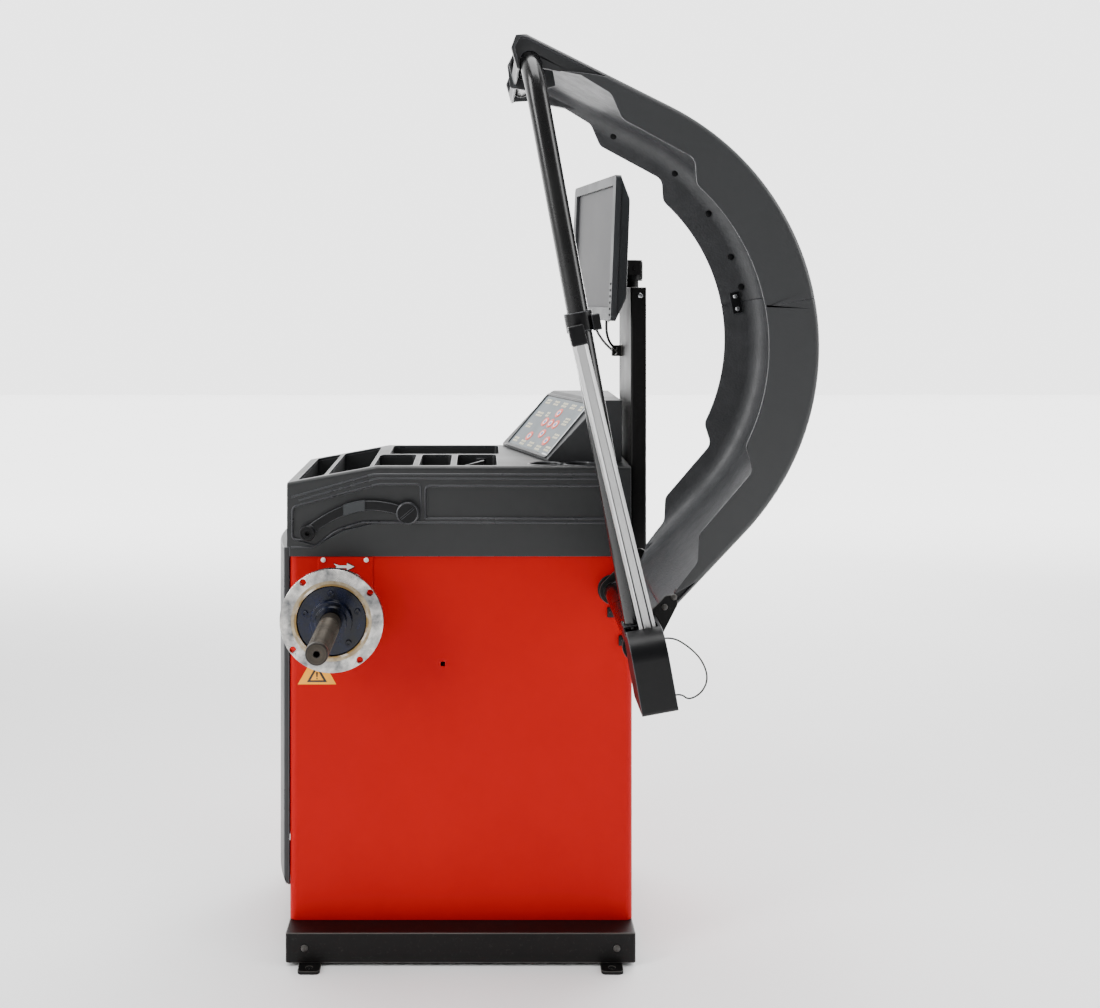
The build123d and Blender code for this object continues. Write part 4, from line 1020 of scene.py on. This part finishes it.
@dataclass
class HoodUnit:
    """The swinging wheel guard, its tube and the ears that join them."""

    centre: tuple[float, float] = (137.0, 1084.0)
    tilt_deg: float = 10.5
    plug_y: float = -204.2
    plugs: tuple[tuple[float, float], ...] = ((377, 59.4), (374, 40.2), (368, 26), (364, 12.7), (364, 4))

    def world(self, u: float, v: float, y: float) -> Vector:
        """A point of the guard's own frame.

        Args:
            u: Distance to the guard's rear, in millimetres.
            v: Distance up it, in millimetres.
            y: The machine's Y, in millimetres.

        Returns:
            The place in metres.
        """
        c, s = math.cos(math.radians(self.tilt_deg)), math.sin(math.radians(self.tilt_deg))
        return Vector((self.centre[0] + u * c - v * s, y, self.centre[1] + u * s + v * c)) * MM

    def polar(self, radius: float, angle_deg: float, y: float) -> Vector:
        """A point at a radius and angle of the guard's own frame.

        Args:
            radius: Distance from the guard's centre, in millimetres.
            angle_deg: Angle from its u axis.
            y: The machine's Y, in millimetres.

        Returns:
            The place in metres.
        """
        a = math.radians(angle_deg)
        return self.world(radius * math.cos(a), radius * math.sin(a), y)

    def inside(self, centre: Vector, normal: Vector) -> bool:
        """Whether a face looks into the guard's channel.

        Args:
            centre: The face's middle, in metres.
            normal: The way it faces.

        Returns:
            True on the channel's walls and roof.
        """
        hub = self.world(0, 0, centre.y / MM)
        inward = (hub - centre).normalized()
        far_wall = normal.y < -0.5 and centre.y > -0.3
        curved = normal.dot(inward) > 0.3 and -0.585 < centre.y < -0.203
        near_wall = normal.y > 0.5 and centre.y < -0.5
        return far_wall or curved or near_wall

    def build(self) -> None:
        """Dress the shells and the tube, then the plugs and screws."""
        for node in ("hood_shell_upper", "hood_shell_lower"):
            carry(node, GUARD_SKIN, "hood", "black_plastic", 1.2, ABS_HIGHLIGHT, 3, lining=(GUARD_LINER, self.inside))
        carry("hood_joint_straps", ABS_DARK, "hood", "black_plastic", 0.8, ABS_HIGHLIGHT)
        carry("hood_ears", BLACK_PAINT, "hood", "black_steel", 0.8, BLACK_PAINT_HIGHLIGHT)
        carry("hood_tube", TUBE_ENAMEL, "hood", "black_steel", 0.6, TUBE_ENAMEL)
        carry("hood_bar_cap", ABS_DARK, "hood", "black_plastic", 1.6, ABS_HIGHLIGHT, 3)
        near = Vector((0, -1, 0))
        work = bmesh.new()
        lathe(work, [(0, 0), (5.6, 0), (5.6, 1.4), (4.8, 2.6), (3.0, 3.2), (0, 3.2)], Vector(), Z_AXIS, 28)
        spots = [(self.polar(radius, angle, self.plug_y), near) for radius, angle in self.plugs]
        REPEAT.run("guard_plugs", from_bm(work, "plug"), spots, ABS_DARK, "hood", "black_plastic")
        straps = [(self.world(350, v, -207.4), near) for v in (-11, 11)]
        REPEAT.run("joint_screws", screw_head(4.2, 2.6), straps, ZINC, "hood", "black_plastic", 1.0, 1.4)
        ears = [(self.world(u, v, -592.4), near) for u, v in ((112, -396), (96, -408))]
        REPEAT.run("ear_screws", screw_head(4.6, 2.8), ears, BLACK_PAINT_HIGHLIGHT, "hood", "black_steel", 1.0, 1.4)


@dataclass
class WidthGaugeUnit:
    """The width arm, its sensor case and the clip that parks it."""

    def build(self) -> None:
        """Dress the case and the bar."""
        carry("width_sensor_case", ABS_DARK, "hood", "black_plastic", 2.0, ABS_HIGHLIGHT, 3)
        carry("width_arm_clip", ABS_DARK, "hood", "black_plastic", 1.4, ABS_HIGHLIGHT, 3)
        carry("width_bar", BAR_ALUMINIUM, "width_arm", "bar_aluminium", 1.2, BAR_ALUMINIUM, 2)
        carry("width_bar_cap", ABS_DARK, "width_arm", "black_plastic", 1.4, ABS_HIGHLIGHT, 3)


@dataclass
class MonitorUnit:
    """The monitor, its swivel and post."""

    centre: tuple[float, float, float] = (244.0, -12.0, 1244.5)
    yaw_deg: float = 8.24
    tilt_deg: float = 2.3

    def build(self) -> None:
        """Dress the post, the swivel and the display."""
        carry("monitor_post", BLACK_PAINT, "machine", "black_steel", 1.2, BLACK_PAINT_HIGHLIGHT, 2)
        carry("monitor_swivel", ABS_DARK, "monitor_swivel", "black_plastic", 1.0, ABS_HIGHLIGHT, 2)
        carry("monitor_bezel", ABS_GREY, "monitor", "grey_plastic", 0.9, ABS_GREY, 2)
        carry("monitor_back", ABS_GREY, "monitor", "grey_plastic", 1.6, ABS_GREY, 3)
        carry("monitor_panel", PANEL_GLASS, "monitor", "screen", 0.3, PANEL_GLASS)
        self.details()

    def details(self) -> None:
        """Menu buttons on the frame, a screw on the post, and the swivel's ribs."""
        yaw, tilt = math.radians(self.yaw_deg), math.radians(self.tilt_deg)
        out = Vector((-math.cos(yaw) * math.cos(tilt), -math.sin(yaw) * math.cos(tilt), math.sin(tilt)))
        frame_at = facing(self.centre, out, Vector((math.sin(yaw), -math.cos(yaw), 0)))
        work = bmesh.new()
        lathe(work, [(0, 0), (2.3, 0), (2.3, 0.9), (1.7, 1.5), (0, 1.5)], Vector(), Z_AXIS, 20)
        spots = [(frame_at @ (Vector((162, -130 + 11 * i, -0.1)) * MM), out) for i in range(7)]
        REPEAT.run("menu_buttons", from_bm(work, "button"), spots, ABS_DARK, "monitor", "grey_plastic")
        near = Vector((0, -1, 0))
        REPEAT.run("post_screw", screw_head(4.6, 2.6), [(Vector((320, -150, 1160)) * MM, near)], ZINC, "machine",
                   "black_steel", 1.0, 1.4)
        work = bmesh.new()
        prism(work, [(-0.7, -15.4), (0.7, -15.4), (0.7, 15.4), (-0.7, 15.4)], Matrix.Identity(4), 1.0, 0.2)
        ring = []
        for i in range(28):
            way = Vector((math.cos(math.tau * i / 28), math.sin(math.tau * i / 28), 0))
            if abs(way.dot(Vector((math.sin(yaw), -math.cos(yaw), 0)))) < 0.93:
                ring.append((Vector((317, -40, 1206.5)) * MM + way * 18.8 * MM, way, Vector((-way.y, way.x, 0))))
        REPEAT.run("swivel_ribs", from_bm(work, "rib"), ring, ABS_DARK, "monitor_swivel", "black_plastic")


def main() -> None:
    """Build the camera and cords, then each sub-assembly in order."""
    studio = Studio()
    studio.camera()
    for cord in CORDS:
        cord.build()
    for unit in (BaseUnit(), SpindleUnit(), InnerUnit(), TrayUnit(), ConsoleUnit(), HoodUnit(), WidthGaugeUnit(),
                 MonitorUnit()):
        unit.build()
        LOG.info("built %s", type(unit).__name__)
    studio.build()


if __name__ == "__main__":
    main()
